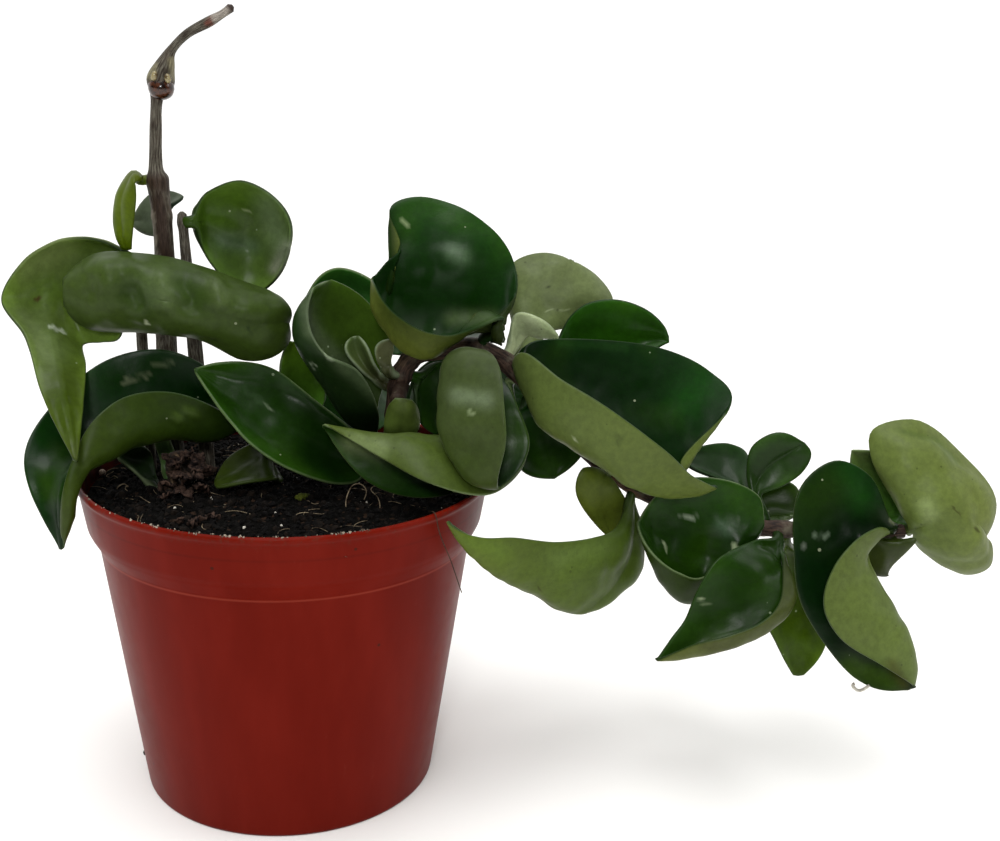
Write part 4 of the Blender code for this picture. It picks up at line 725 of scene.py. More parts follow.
# Dry flakes round the dried leaf: the place and the half width of each
HUSK_HALF_THICKNESS = 0.18
HUSKS = [((-27.4, -10.5, 87.9), 2.4), ((-24.3, -9.5, 89.2), 2.3), ((-20.7, -10.0, 87.9), 2.5),
         ((-18.5, -10.0, 85.6), 2.0), ((-25.5, -11.5, 85.1), 2.7), ((-21.9, -12.0, 84.6), 2.8),
         ((-28.0, -12.0, 82.1), 2.2), ((-23.8, -13.0, 81.2), 2.4), ((-19.7, -12.0, 81.8), 2.3),
         ((-28.0, -14.0, 80.2), 1.6), ((-13.5, -26.5, 79.8), 1.6), ((-17.0, -30.5, 79.8), 2.0),
         ((-20.6, -30.4, 79.8), 1.4)]


def linear(hex_colour):
    """An sRGB hex colour as linear red, green and blue."""
    values = [int(hex_colour[i:i + 2], 16) / 255 for i in (0, 2, 4)]
    return [v / 12.92 if v <= 0.04045 else ((v + 0.055) / 1.055)**2.4 for v in values]


def rgba(hex_colour):
    return (*linear(hex_colour), 1.0)


def fill(tree, node, inputs):
    """Link inputs of a node, by name or place, to sockets, or set their values."""
    for key, value in inputs.items():
        if isinstance(value, bpy.types.NodeSocket):
            tree.links.new(value, node.inputs[key])
        else:
            node.inputs[key].default_value = value


def put(tree, kind, inputs=None, **settings):
    """Add a node with its settings and inputs, and give its outputs."""
    node = tree.nodes.new(kind)
    for key, value in settings.items():
        setattr(node, key, value)
    fill(tree, node, inputs or {})
    return node.outputs


# Finishes


def new_material(name):
    """A material with its tree, its shader and the place that patterns are read at."""
    material = bpy.data.materials.new(name)
    material.use_nodes = True
    tree = material.node_tree
    return material, tree, tree.nodes['Principled BSDF'], put(tree, 'ShaderNodeTexCoord')['Object']


def over(tree, colour, tone, *shares):
    """A colour with a tone laid over it, as far as all the shares multiplied together."""
    cover = shares[0]
    for share in shares[1:]:
        cover = put(tree, 'ShaderNodeMath', {0: cover, 1: share}, operation='MULTIPLY')[0]
    return put(tree, 'ShaderNodeMix', {0: cover, 6: colour, 7: tone}, data_type='RGBA')[2]


def cloudy(tree, place, size_mm, detail, roughness=0.5, levels=None, values=(0.0, 1.0)):
    """Cloudy noise with lumps about size_mm across, brought to run between two values.

    With levels it eases from one value to the other as the noise passes between the two levels.
    """
    lumps = put(tree, 'ShaderNodeTexNoise', {'Vector': place, 'Scale': 1.0 / (size_mm * MM),
                                             'Detail': detail, 'Roughness': roughness})['Fac']
    low, high = levels or (0.0, 1.0)
    return put(tree, 'ShaderNodeMapRange', {0: lumps, 1: low, 2: high, 3: values[0], 4: values[1]},
               interpolation_type='SMOOTHSTEP' if levels else 'LINEAR')[0]


def specks(tree, colour, place, apart_mm, radius_mm, chance, tone, *shares):
    """Round specks of a tone over a colour, by chance in cells that lie about apart_mm from each other."""
    cells = put(tree, 'ShaderNodeTexVoronoi', {'Vector': place, 'Scale': 1.0 / (apart_mm * MM)})
    draw = put(tree, 'ShaderNodeSeparateColor', {0: cells['Color']})
    radius = put(tree, 'ShaderNodeMath', {0: draw[1], 1: radius_mm / apart_mm}, operation='MULTIPLY')[0]
    inside = put(tree, 'ShaderNodeMath', {0: cells['Distance'], 1: radius}, operation='LESS_THAN')[0]
    drawn = put(tree, 'ShaderNodeMath', {0: draw[0], 1: chance}, operation='LESS_THAN')[0]
    return over(tree, colour, tone, inside, drawn, *shares)


def bumpy(tree, place, size_mm, detail, depth_mm, strength, roughness=0.5, beneath=None):
    """A surface bent by cloudy lumps of a size and depth, over the surface beneath if one is given."""
    inputs = {'Height': cloudy(tree, place, size_mm, detail, roughness), 'Distance': depth_mm * MM,
              'Strength': strength}
    if beneath is not None:
        inputs['Normal'] = beneath
    return put(tree, 'ShaderNodeBump', inputs)[0]


def within(tree, *edges):
    """1 inside a region and 0 outside it.

    Each edge is a value, with the millimetres where the region starts and where it is full.
    """
    share = 1.0
    for value, start, full in edges:
        inside = put(tree, 'ShaderNodeMapRange', {0: value, 1: start * MM, 2: full * MM},
                     interpolation_type='SMOOTHSTEP')[0]
        share = put(tree, 'ShaderNodeMath', {0: share, 1: inside}, operation='MULTIPLY')[0]
    return share


def waxy_leaf():
    """Thick waxy leaf: a clear gloss on the dark upper face, a duller pale under face with pores."""
    material, tree, shader, place = new_material("waxy_leaf")
    colour = put(tree, 'ShaderNodeAttribute', attribute_name="tint")['Color']
    upper = put(tree, 'ShaderNodeAttribute', attribute_name="upper")['Fac']
    below = put(tree, 'ShaderNodeMath', {0: 1.0, 1: upper}, operation='SUBTRACT')[0]
    # Cloudy tissue of 1.6 mm and cell grain of 0.5 mm, lighter and darker than the leaf's own tint
    tissue = cloudy(tree, place, 1.6, 4.0, 0.6, (0.3, 0.7), (0.89, 1.11))
    cells = cloudy(tree, place, 0.5, 2.0, 0.5, (0.3, 0.7), (0.96, 1.04))
    for light in (tissue, cells):
        colour = put(tree, 'ShaderNodeMix', {0: 1.0, 6: colour, 7: light}, data_type='RGBA',
                     blend_type='MULTIPLY')[2]
    # Silvery flecks on the upper face and dark olive pores on the under face, then chalky lime on
    # both, where water has dried
    colour = specks(tree, colour, place, 3.4, 0.42, 0.22, rgba("9DAC8C"), upper, 0.45)
    colour = specks(tree, colour, place, 2.2, 0.36, 0.35, rgba("2C3314"), below, 0.5)
    colour = specks(tree, colour, place, 5.5, 0.5, 0.12, rgba("A8B090"), 0.5)
    worn = cloudy(tree, place, 2.2, 3.0, values=(0.24, 0.38))
    dull = put(tree, 'ShaderNodeMath', {0: below, 1: 0.1, 2: worn}, operation='MULTIPLY_ADD')[0]
    kept_gloss = put(tree, 'ShaderNodeAttribute', attribute_name="shine")['Fac']
    gloss = put(tree, 'ShaderNodeMath', {0: kept_gloss, 1: 0.18}, operation='MULTIPLY')[0]
    # Leathery skin: pits of 0.45 mm in dimples of 2.4 mm
    pits = bumpy(tree, place, 0.45, 2.0, 0.04, 0.35)
    dimples = bumpy(tree, place, 2.4, 2.0, 0.12, 0.45, beneath=pits)
    fill(tree, shader, {'Base Color': colour, 'Roughness': dull, 'IOR': 1.42, 'Specular IOR Level': gloss,
                        'Normal': dimples})
    return material


def dead_leaf():
    """Dry shrivelled leaf: brown, matt and papery, with darker creases."""
    material, tree, shader, place = new_material("dead_leaf")
    tint = put(tree, 'ShaderNodeAttribute', attribute_name="tint")['Color']
    colour = over(tree, rgba("17100B"), tint, cloudy(tree, place, 1.2, 5.0, 0.7, (0.4, 0.62)))
    colour = over(tree, colour, rgba("7A6248"), cloudy(tree, place, 2.4, 4.0, 0.5, (0.58, 0.7)))
    creases = bumpy(tree, place, 1.2, 5.0, 0.5, 0.8, 0.7)
    fill(tree, shader, {'Base Color': colour, 'Roughness': 0.85, 'Normal': creases})
    return material


def bark(name, dark, pale, growth):
    """Stem bark: dull and cracked along its length, with marks of its own where it is polished or worn."""
    material, tree, shader, place = new_material(name)
    # Cracks about 0.4 mm wide and 3.5 mm long, as the bark map is in millimetres
    along = put(tree, 'ShaderNodeUVMap', uv_map="bark")['UV']
    stretched = put(tree, 'ShaderNodeMapping', {'Vector': along, 'Scale': (1.0, 0.12, 1.0)})[0]
    cracks = put(tree, 'ShaderNodeTexNoise', {'Vector': stretched, 'Scale': 2.4, 'Detail': 5.0,
                                              'Roughness': 0.65})['Fac']
    ridges = put(tree, 'ShaderNodeMapRange', {0: cracks, 1: 0.38, 2: 0.66},
                 interpolation_type='SMOOTHSTEP')[0]
    colour = over(tree, rgba(dark), rgba(pale), ridges)
    colour = over(tree, colour, rgba(growth), cloudy(tree, place, 5.0, 4.0, 0.6, (0.5, 0.72)))
    # Marks keep some of the bark's own light and dark
    tint = put(tree, 'ShaderNodeAttribute', attribute_name="tint")['Color']
    cover = put(tree, 'ShaderNodeAttribute', attribute_name="cover")['Fac']
    light = put(tree, 'ShaderNodeMapRange', {0: cracks, 1: 0.35, 2: 0.65, 3: 0.6, 4: 1.3},
                interpolation_type='SMOOTHSTEP')[0]
    streaked = put(tree, 'ShaderNodeMix', {0: 1.0, 6: tint, 7: light}, data_type='RGBA',
                   blend_type='MULTIPLY')[2]
    colour = over(tree, colour, streaked, cover)
    polish = put(tree, 'ShaderNodeAttribute', attribute_name="shine")['Fac']
    dull = put(tree, 'ShaderNodeMath', {0: polish, 1: -0.45, 2: 0.62}, operation='MULTIPLY_ADD')[0]
    rough = put(tree, 'ShaderNodeMath', {0: polish, 1: -0.7, 2: 0.7}, operation='MULTIPLY_ADD')[0]
    bumps = put(tree, 'ShaderNodeBump', {'Height': cracks, 'Distance': 0.5 * MM, 'Strength': rough})[0]
    fill(tree, shader, {'Base Color': colour, 'Roughness': dull, 'Specular IOR Level': 0.2, 'Normal': bumps})
    return material


def bud_scale(name, dark, pale):
    """Polished bud scales at the flowering joint, streaked and glossy."""
    material, tree, shader, place = new_material(name)
    streaks = cloudy(tree, place, 1.4, 3.0, 0.5, (0.35, 0.65))
    fill(tree, shader, {'Base Color': over(tree, rgba(dark), rgba(pale), streaks), 'Roughness': 0.16})
    return material


def moulded_polypropylene():
    """Brick-red moulded polypropylene: satin, slightly wavy, with faint rubs, a dusty rim and painted shade
    on the inner wall.
    """
    material, tree, shader, place = new_material("moulded_polypropylene")
    parts = put(tree, 'ShaderNodeSeparateXYZ', {0: place})
    height = parts['Z']
    flow = put(tree, 'ShaderNodeMapping', {'Vector': place, 'Scale': (1.0, 1.0, 0.22)})[0]
    colour = over(tree, rgba("641003"), rgba("70170A"), cloudy(tree, flow, 9.0, 4.0, 0.6, (0.3, 0.75)))
    colour = over(tree, colour, rgba("5A0A02"), cloudy(tree, place, 30.0, 2.0), 0.5)
    # Under the collar the wall draws in: duller there, with a fine pale crease below
    recess = within(tree, (height, 67.0, 68.0), (height, 72.8, 71.2))
    crease = within(tree, (height, 66.9, 67.3), (height, 67.8, 67.4))
    colour = over(tree, colour, rgba("98402F"), crease, 0.4)
    # Painted shade, in cloudy patches, on the inner wall between the soil and the lip
    flat = put(tree, 'ShaderNodeCombineXYZ', {0: parts['X'], 1: parts['Y']})[0]
    radius = put(tree, 'ShaderNodeVectorMath', {0: flat}, operation='LENGTH')['Value']
    inner = within(tree, (radius, 51.3, 51.0), (height, 78.0, 79.0))
    painted_wall_shade = cloudy(tree, place, 4.0, 4.0, 0.5, (0.35, 0.6), (0.7, 0.95))
    colour = over(tree, colour, rgba("120503"), inner, painted_wall_shade)
    # Rubbed marks, paler than the wall, potting dust that clings under the lip, and specks all over
    rubs = cloudy(tree, flow, 2.6, 6.0, 0.75, (0.62, 0.8))
    colour = over(tree, colour, rgba("9A5A4C"), rubs, 0.16)
    dust = cloudy(tree, place, 1.1, 5.0, 0.7, (0.5, 0.66))
    colour = over(tree, colour, rgba("4A3226"), dust, within(tree, (height, 80.0, 84.6)), 0.4)
    colour = specks(tree, colour, place, 4.5, 0.5, 0.1, rgba("2A1A12"), 0.7)
    gloss = put(tree, 'ShaderNodeMath', {0: recess, 1: -0.028, 2: 0.05}, operation='MULTIPLY_ADD')[0]
    peel = bumpy(tree, place, 0.5, 2.0, 0.02, 0.35)
    fill(tree, shader, {'Base Color': colour, 'IOR': 1.49, 'Specular IOR Level': gloss,
                        'Roughness': cloudy(tree, place, 4.0, 4.0, values=(0.3, 0.44)),
                        'Normal': bumpy(tree, flow, 22.0, 1.0, 0.5, 0.35, beneath=peel)})
    return material


def potting_mix():
    """Damp peat and bark: matt and nearly black, from its own dark colour and painted shade from the leaves
    above, with brown crumbs and fine tan specks.
    """
    material, tree, shader, place = new_material("potting_mix")
    crumbs = put(tree, 'ShaderNodeTexVoronoi', {'Vector': place, 'Scale': 1.0 / (1.1 * MM)})
    draw = put(tree, 'ShaderNodeSeparateColor', {0: crumbs['Color']})
    brown = put(tree, 'ShaderNodeMapRange', {0: draw[1], 1: 0.88, 2: 0.94},
                interpolation_type='SMOOTHSTEP')[0]
    # The near-black ground is the peat's own colour darkened with painted shade
    colour = over(tree, rgba("020201"), rgba("080604"), draw[0])
    colour = over(tree, colour, rgba("2E2118"), brown)
    colour = specks(tree, colour, place, 2.6, 0.4, 0.12, rgba("7A705E"), 0.6)
    fill(tree, shader, {'Base Color': colour, 'Roughness': 0.95, 'Specular IOR Level': 0.08,
                        'Normal': bumpy(tree, place, 0.8, 5.0, 0.6, 0.9, 0.7)})
    return material


def loose_bits(name, dark, pale, roughness):
    """Small loose matter whose colour changes from bit to bit."""
    material, tree, shader, place = new_material(name)
    mixture = cloudy(tree, place, 3.0, 4.0, 0.8, (0.35, 0.65))
    fill(tree, shader, {'Base Color': over(tree, rgba(dark), rgba(pale), mixture),
                        'Roughness': roughness, 'Specular IOR Level': 0.15,
                        'Normal': bumpy(tree, place, 0.3, 3.0, 0.1, 0.6)})
    return material


def studio_paper():
    """Plain matt paper for the floor."""
    material, tree, shader, place = new_material("studio_paper")
    colour = over(tree, rgba(FLOOR_COLOUR), rgba("E6E4DE"), cloudy(tree, place, 1.5, 3.0), 0.05)
    fill(tree, shader, {'Base Color': colour, 'Roughness': 0.9})
    return material


# Shapes shared by leaves, stems and small things


def seen(across, behind, up):
    """The point that shows at (across, up) on the upright middle plane, moved behind that plane."""
    flat = np.array([across, 0.0, up])
    return EYE + (flat - EYE) * (1.0 - behind / EYE[1])


def as_seen(points):
    """Where true points show on the upright middle plane, as across and up."""
    share = 1.0 - points[:, 1:2] / EYE[1]
    return (EYE + (points - EYE) / share)[:, [0, 2]]


def unit(vectors):
    """Vectors, along the last axis, brought to a length of one."""
    return vectors / np.maximum(np.linalg.norm(vectors, axis=-1, keepdims=True), 1e-9)


def ease(value):
    """A value held between 0 and 1, with soft ends."""
    value = np.clip(value, 0.0, 1.0)
    return value * value * (3 - 2 * value)


def spline(points, count):
    """A smooth line through the points, read at even steps between its first and last."""
    p = np.asarray(points, float)
    last = len(p) - 1
    slope = np.zeros_like(p)
    slope[1:-1] = (p[2:] - p[:-2]) / 2
    slope[0] = (4 * p[1] - 3 * p[0] - p[2]) / 2
    slope[-1] = (3 * p[-1] - 4 * p[-2] + p[-3]) / 2
    place = np.linspace(0, last, count)
    k = np.minimum(place.astype(int), last - 1)
    f = (place - k)[:, None]
    start = (2 * f**3 - 3 * f**2 + 1) * p[k] + (f**3 - 2 * f**2 + f) * slope[k]
    end = (3 * f**2 - 2 * f**3) * p[k + 1] + (f**3 - f**2) * slope[k + 1]
    return start + end


def running_length(points):
    steps = np.linalg.norm(np.diff(points, axis=0), axis=1)
    return np.concatenate([[0.0], np.cumsum(steps)])


def at_lengths(lengths, wanted, columns):
    """Each column read where the running length has the wanted values."""
    return np.stack([np.interp(wanted, lengths, c) for c in columns.T], 1)


def normals(grid):
    return unit(np.cross(np.gradient(grid, axis=1), np.gradient(grid, axis=0)))


def clouds(points, size, seed):
    """Smooth noise from -1 to 1 at each point, with lumps of the given size."""
    shifted = np.asarray(points).reshape(-1, 3) / size + seed * 17.3
    values = [noise.noise(Vector(p)) for p in shifted]
    return np.array(values).reshape(np.shape(points)[:-1])


def ring_faces(rings, sides):
    """The squares between rings of points that follow each other along a shape."""
    here = np.arange((rings - 1) * sides).reshape(rings - 1, sides)
    after = np.roll(here, -1, axis=1)
    return np.stack([here, after, after + sides, here + sides], 2).reshape(-1, 4).tolist()


def tube_faces(rings, sides):
    """The faces of a closed tube: the squares of its wall, with a flat cap before and after them."""
    last = (rings - 1) * sides
    return [tuple(range(sides))[::-1], *ring_faces(rings, sides), tuple(range(last, last + sides))]


def tube_points(middle, along, side, reaches):
    """Rings of points round a line, from its directions and a reach for every point of each ring."""
    turns = np.linspace(0, 2 * math.pi, reaches.shape[1], endpoint=False)[:, None]
    rings = []
    for centre, direction, reach in zip(middle, along, reaches):
        side = unit(side - direction * (side @ direction))
        other = np.cross(direction, side)
        rings.append(centre + reach[:, None] * (np.cos(turns) * side + np.sin(turns) * other))
    return np.concatenate(rings)


def settle(piece, node=None):
    """Put a finished piece in the scene and on its body, in place of its node if it has one."""
    bpy.context.scene.collection.objects.link(piece)
    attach(piece, "root")
    if node:
        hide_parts(node)
    return piece


def new_piece(name, points, faces, material, node=None):
    """A smooth mesh object from points in millimetres, which rides on the plant."""
    mesh = bpy.data.meshes.new(name)
    mesh.from_pydata((np.asarray(points) * MM).tolist(), [], faces)
    mesh.shade_smooth()
    mesh.materials.append(material)
    return settle(bpy.data.objects.new(name, mesh), node)


# Marks, painted highlights, painted shade and colours


def apart_from(flat, start, end):
    """How far each place in the picture plane lies from the line between two ends."""
    line = np.subtract(end, start)
    along = np.clip((flat - start) @ line / max(line @ line, 1e-6), 0, 1)
    return np.linalg.norm(flat - start - along[:, None] * line, axis=1)


def facing_front(mesh, points):
    """1 where a surface faces the front, easing to 0 where it turns away."""
    outward = np.zeros(len(points) * 3)
    mesh.vertices.foreach_get("normal", outward)
    slant = (outward.reshape(-1, 3) * unit(EYE - points)).sum(1)
    return ease(slant / TURNED_AWAY + 1)


def with_marks_and_painted_light(name, points, colours, shine, sharpness, shown=1.0):
    """The colours, the share that marks cover and the shine, with the marks, painted highlights and painted
    shade of a piece blended in.
    """
    flat = as_seen(points)
    cover = np.zeros((len(points), 1))
    rows = [row[1:] for row in MARKS_AND_PAINTED_LIGHT if row[0] == name]
    ragged = flat
    if any(row[2] <= FINE_MARK for row in rows):
        ragged = flat + MARK_WOBBLE * np.stack([clouds(points, 1.6, 3), clouds(points, 1.6, 4)], 1)
    for start, end, reach, tone, share, own_shine in rows:
        fine = reach <= FINE_MARK
        apart = apart_from(ragged if fine else flat, start, end)
        power = FINE_SHARPNESS if fine else sharpness
        near = (shown * share * np.exp(-(apart / reach)**power))[:, None]
        colours = colours * (1 - near) + np.array(linear(tone)) * near
        cover = cover + near * (1 - cover)
        shine = shine * (1 - near) + own_shine * near
    return colours, cover, shine


def paint(mesh, colours, values):
    """Store a colour and some named values at every point."""
    tint = mesh.color_attributes.new("tint", 'FLOAT_COLOR', 'POINT')
    tint.data.foreach_set("color", np.hstack([colours, np.ones((len(colours), 1))]).ravel())
    for name, value in values.items():
        layer = mesh.attributes.new(name, 'FLOAT', 'POINT')
        layer.data.foreach_set("value", np.ravel(value))


# Leaves


def stem_line(name, count=400):
    """The middle of a stem and its radius there, as one row of x, y, z, radius for each point."""
    rows = STEMS[name]
    places = [(*seen(across, behind, up), radius) for across, behind, up, radius in rows]
    return spline(places, count)


def blade_lines(spec):
    """The midrib and the two margins of a leaf, from inside its stem to its tip."""
    mid = [seen(*p) for p in spec["mid"]]
    one = [seen(*p) for p in spec["one"]]
    two = [seen(*p) for p in spec["two"]]
    base = mid[0]
    tip = mid[-1]
    if spec["stem"]:
        line = stem_line(spec["stem"], 200)
        k = np.argmin(np.linalg.norm(line[:, :3] - base, axis=1))
        out = unit(base - line[k, :3])
        base = line[k, :3] + out * (line[k, 3] - STALK_SUNK)
    else:
        base[2] = SOIL_TOP - STALK_SUNK
        out = unit((mid[1] - base) * np.array([1.0, 1.0, 0.3]))
    side = one[0] - two[0]
    side = unit(side - out * (side @ out))
    neck = base + out * (STALK_LENGTH + STALK_SUNK)
    start = side * STALK_HALF_WIDTH
    end = unit(one[-1] - two[-1]) * spec.get("tip", TIP_HALF_WIDTH)
    midrib = np.array([base, neck] + mid[1:])
    first = np.array([base + start, neck + start * NECK_FLARE] + one + [tip + end])
    second = np.array([base - start, neck - start * NECK_FLARE] + two + [tip - end])
    return midrib, first, second


def hollow_side_up(midrib, first, second):
    """The margins in the order that turns the upper face to the hollow side."""
    hollow = 0.0
    for i in range(1, len(midrib) - 1):
        face = np.cross(first[i] - second[i], unit(midrib[i + 1] - midrib[i - 1]))
        hollow += ((first[i] + second[i]) / 2 - midrib[i]) @ face
    return (first, second) if hollow >= 0 else (second, first)


def blade(spec, rows, columns):
    """The middle surface of a leaf as grids: points, normals, thickness, share along, share across."""
    midrib, one, two = blade_lines(spec)
    first, second = hollow_side_up(midrib, one, two)
    towards_one = 1 if first is one else -1
    steps = LINE_STEPS * (len(midrib) - 1) + 1
    lines = np.hstack([spline(line, steps) for line in (midrib, first, second)])
    # The midrib counts for half of the length, and each margin for a quarter
    lengths = (2 * running_length(lines[:, 0:3]) + running_length(lines[:, 3:6])
               + running_length(lines[:, 6:9])) / 4
    wanted = np.linspace(0, lengths[-1], rows + 1)
    lines = at_lengths(lengths, wanted, lines)[:, None]
    mid, right, left = lines[..., 0:3], lines[..., 3:6], lines[..., 6:9]
    t = (wanted / lengths[-1])[:, None, None]
    opened = ease((t - OPENING_START / lengths[-1]) / END_SHARE)
    closing = np.clip((1 - t) / END_SHARE, 0, 1)
    middle_thickness = STALK_THICKNESS + (LEAF_THICKNESS - STALK_THICKNESS) * opened
    middle_thickness = middle_thickness * (TIP_THINNING + (1 - TIP_THINNING) * closing)
    # The margins are drawn in by their own rounding, so that the leaf keeps its outline
    width = np.linalg.norm(right - left, axis=2, keepdims=True) / 2
    drawn_in = 1 - np.minimum(0.5, MARGIN_ROUNDING * middle_thickness / np.maximum(width, 0.1))
    v = np.linspace(-1, 1, columns + 1)[None, :, None] * drawn_in
    bend = v * v * (1 - MIDRIB_CREASE) + np.abs(v) * MIDRIB_CREASE
    grid = mid + v * (right - left) / 2 + bend * ((right + left) / 2 - mid)
    up = normals(grid)
    grid = grid - up * spec["puff"] * np.sin(np.pi * np.abs(v)) * opened * closing
    for along, across, long_reach, wide_reach, height in spec.get("swells", []):
        hump = np.exp(-((t - along) / long_reach)**2 - ((v * towards_one - across) / wide_reach)**2)
        grid = grid + up * height * hump
    thickness = middle_thickness * (1 - MARGIN_THINNING * np.abs(v)**3 * opened)
    return grid, normals(grid), thickness, t, v


def dimpled(name, grid, up, t, v, depth, seed):
    """The blade with its dents, and with shallow hollows and swellings that fade at edges and stalk."""
    soft = ease(t / 0.2) * ease((1 - t) / 0.12) * ease((1 - np.abs(v)) / 0.35)
    lumps = clouds(grid, 9.0, seed) + 0.5 * clouds(grid, 4.0, seed + 3)
    waves = clouds(grid, 6.0, seed + 5) * ease((np.abs(v[..., 0]) - 0.75) / 0.25) * 0.3
    rise = lumps[..., None] * soft * depth + waves[..., None] * ease(t / 0.2) * depth
    inner = ease((1 - np.abs(v)) / 0.2)
    flat = as_seen(grid.reshape(-1, 3))
    for leaf, start, end, reach, height in DENTS:
        if leaf == name:
            near = np.exp(-(apart_from(flat, start, end) / reach)**2).reshape(grid.shape[:2])
            rise = rise + height * near[..., None] * inner
    return grid + up * rise


def rounded_margin(grid, up, thickness, column, turns):
    """The half round that joins the upper and the under face at a margin."""
    outward = unit(np.gradient(grid, axis=1))[:, column] * (1.0 if column else -1.0)
    half = thickness[:, column] / 2
    arc = [grid[:, column] + outward * half * math.sin(a) + up[:, column] * half * math.cos(a)
           for a in turns]
    return np.stack(arc, 1)


def leaf_skin(grid, up, thickness, groove):
    """The closed skin round a blade, as rows that each run over the top, round one margin, back
    underneath and round the other margin, with a blunt point at each end."""
    top = grid + up * (thickness / 2 - groove)
    bottom = grid - up * (thickness / 2 + groove * UNDER_RIDGE)
    right = rounded_margin(grid, up, thickness, -1, MARGIN_TURNS)
    left = rounded_margin(grid, up, thickness, 0, MARGIN_TURNS[::-1])
    loops = np.concatenate([top, right, bottom[:, ::-1], left], 1)
    rows, ring = loops.shape[:2]
    foot, tip, before = (loops[row].mean(0) for row in (0, -1, -3))
    points = np.concatenate([loops.reshape(-1, 3), [foot, tip + unit(tip - before) * TIP_BLUNTNESS]])
    faces = ring_faces(rows, ring)
    last = (rows - 1) * ring
    for k in range(ring):
        after = (k + 1) % ring
        faces.append((rows * ring, after, k))
        faces.append((rows * ring + 1, last + k, last + after))
    return points, faces


def face_colours(look, t, v, places, seed):
    """The colours of the upper and the under face over the blade."""
    upper = np.array(linear(look[0])) * (1 - t) + np.array(linear(look[1])) * t
    under = np.array(linear(look[2])) * (1 - t) + np.array(linear(look[3])) * t
    cloud = clouds(places, 11.0, seed + 9)[..., None]
    upper = upper * (1 + 0.3 * cloud) + np.array(linear(FRESH_GREEN)) * 0.1 * np.clip(cloud, 0, 1)
    under = under * (1 + 0.14 * cloud)
    # Paler towards the margins above, and darker along the midrib and the margins below
    edge = ease((np.abs(v) - 0.55) / 0.45)
    upper = upper * (1 + 0.5 * edge)
    under = under * (1 - 0.12 * ease(1 - np.abs(v) / 0.25)) * (1 - 0.1 * edge)
    return np.clip(upper, 0, 1), np.clip(under, 0, 1)


def margin_colours(first, second, margin):
    """The colours round a margin: one face's, the margin's own along its middle, the other face's."""
    share = np.array(MARGIN_LINE)[None, :, None]
    faces = np.stack([first, first, first, second, second], 1)
    return faces * (1 - share) + margin * share


def skin_colours(upper, under, margin):
    """A colour for every point of a leaf's skin, and 1 on its upper face, 0 below and a half between."""
    rows, wide = upper.shape[:2]
    right = margin_colours(upper[:, -1], under[:, -1], margin)
    left = margin_colours(under[:, 0], upper[:, 0], margin)
    colours = np.concatenate([upper, right, under[:, ::-1], left], 1).reshape(-1, 3)
    ring = np.repeat([1.0, 0.5, 0.0, 0.5], [wide, len(MARGIN_LINE), wide, len(MARGIN_LINE)])
    return np.concatenate([colours, [colours[0], margin]]), np.append(np.tile(ring, rows), [0.5, 0.5])


def leaf_piece(name, seed, skins):
    """A leaf with rounded margins, dimples, and its colours at every point."""
    spec = LEAVES[name]
    look = LOOKS.get(name, OTHER_LOOK)
    # A coarse blade gives the leaf's length and width, which set how fine its mesh is
    coarse = blade(spec, 12, 6)[0]
    length = np.linalg.norm(np.diff(coarse[:, 3], axis=0), axis=1).sum()
    width = np.linalg.norm(np.diff(coarse, axis=1), axis=2).sum(1).max()
    rows = int(max(24, length / LEAF_CELL))
    columns = int(2 * max(7, round(width / LEAF_CELL / 2)))
    grid, up, thickness, t, v = blade(spec, rows, columns)
    grid = dimpled(name, grid, up, t, v, look[5], seed)
    groove = GROOVE_DEPTH * np.exp(-(v * width / 2 / GROOVE_REACH)**2)
    groove = groove * ease(t / 0.15) * ease((1 - t) / 0.1)
    points, faces = leaf_skin(grid, normals(grid), thickness, groove)
    skin = skins["dead" if name == "dried_leaf" else "leaf"]
    piece = new_piece(name, points, faces, skin, name)
    upper, under = face_colours(look, t, v, grid, seed)
    colours, face_up = skin_colours(upper, under, np.array(linear(look[4])))
    shown = facing_front(piece.data, points)
    colours, _, shine = with_marks_and_painted_light(name, points, colours, np.ones((len(points), 1)), 2, shown)
    paint(piece.data, colours, {"upper": face_up, "shine": shine})
    return piece


# Stems


def joints_on(stem):
    """The running lengths along a stem where its leaves grow."""
    line = stem_line(stem)
    lengths = running_length(line[:, :3])
    bases = [seen(*spec["mid"][0]) for spec in LEAVES.values() if spec["stem"] == stem]
    return [lengths[np.argmin(np.linalg.norm(line[:, :3] - base, axis=1))] for base in bases]


def unroll_bark(mesh, lengths):
    """Lay the bark map: round the stem across it, and along the stem up it, in millimetres."""
    bark_map = mesh.uv_layers.new(name="bark")
    corners = np.zeros((len(mesh.loops), 2))
    for polygon in mesh.polygons:
        ids = [mesh.loops[c].vertex_index for c in polygon.loop_indices]
        around = [i % STEM_SIDES for i in ids]
        wraps = max(around) == STEM_SIDES - 1 and min(around) == 0 and len(ids) == 4
        for corner, vertex, k in zip(polygon.loop_indices, ids, around):
            if wraps and k == 0:
                k = STEM_SIDES
            corners[corner] = (k / STEM_SIDES * BARK_GIRTH, lengths[vertex // STEM_SIDES])
    bark_map.data.foreach_set("uv", corners.ravel())


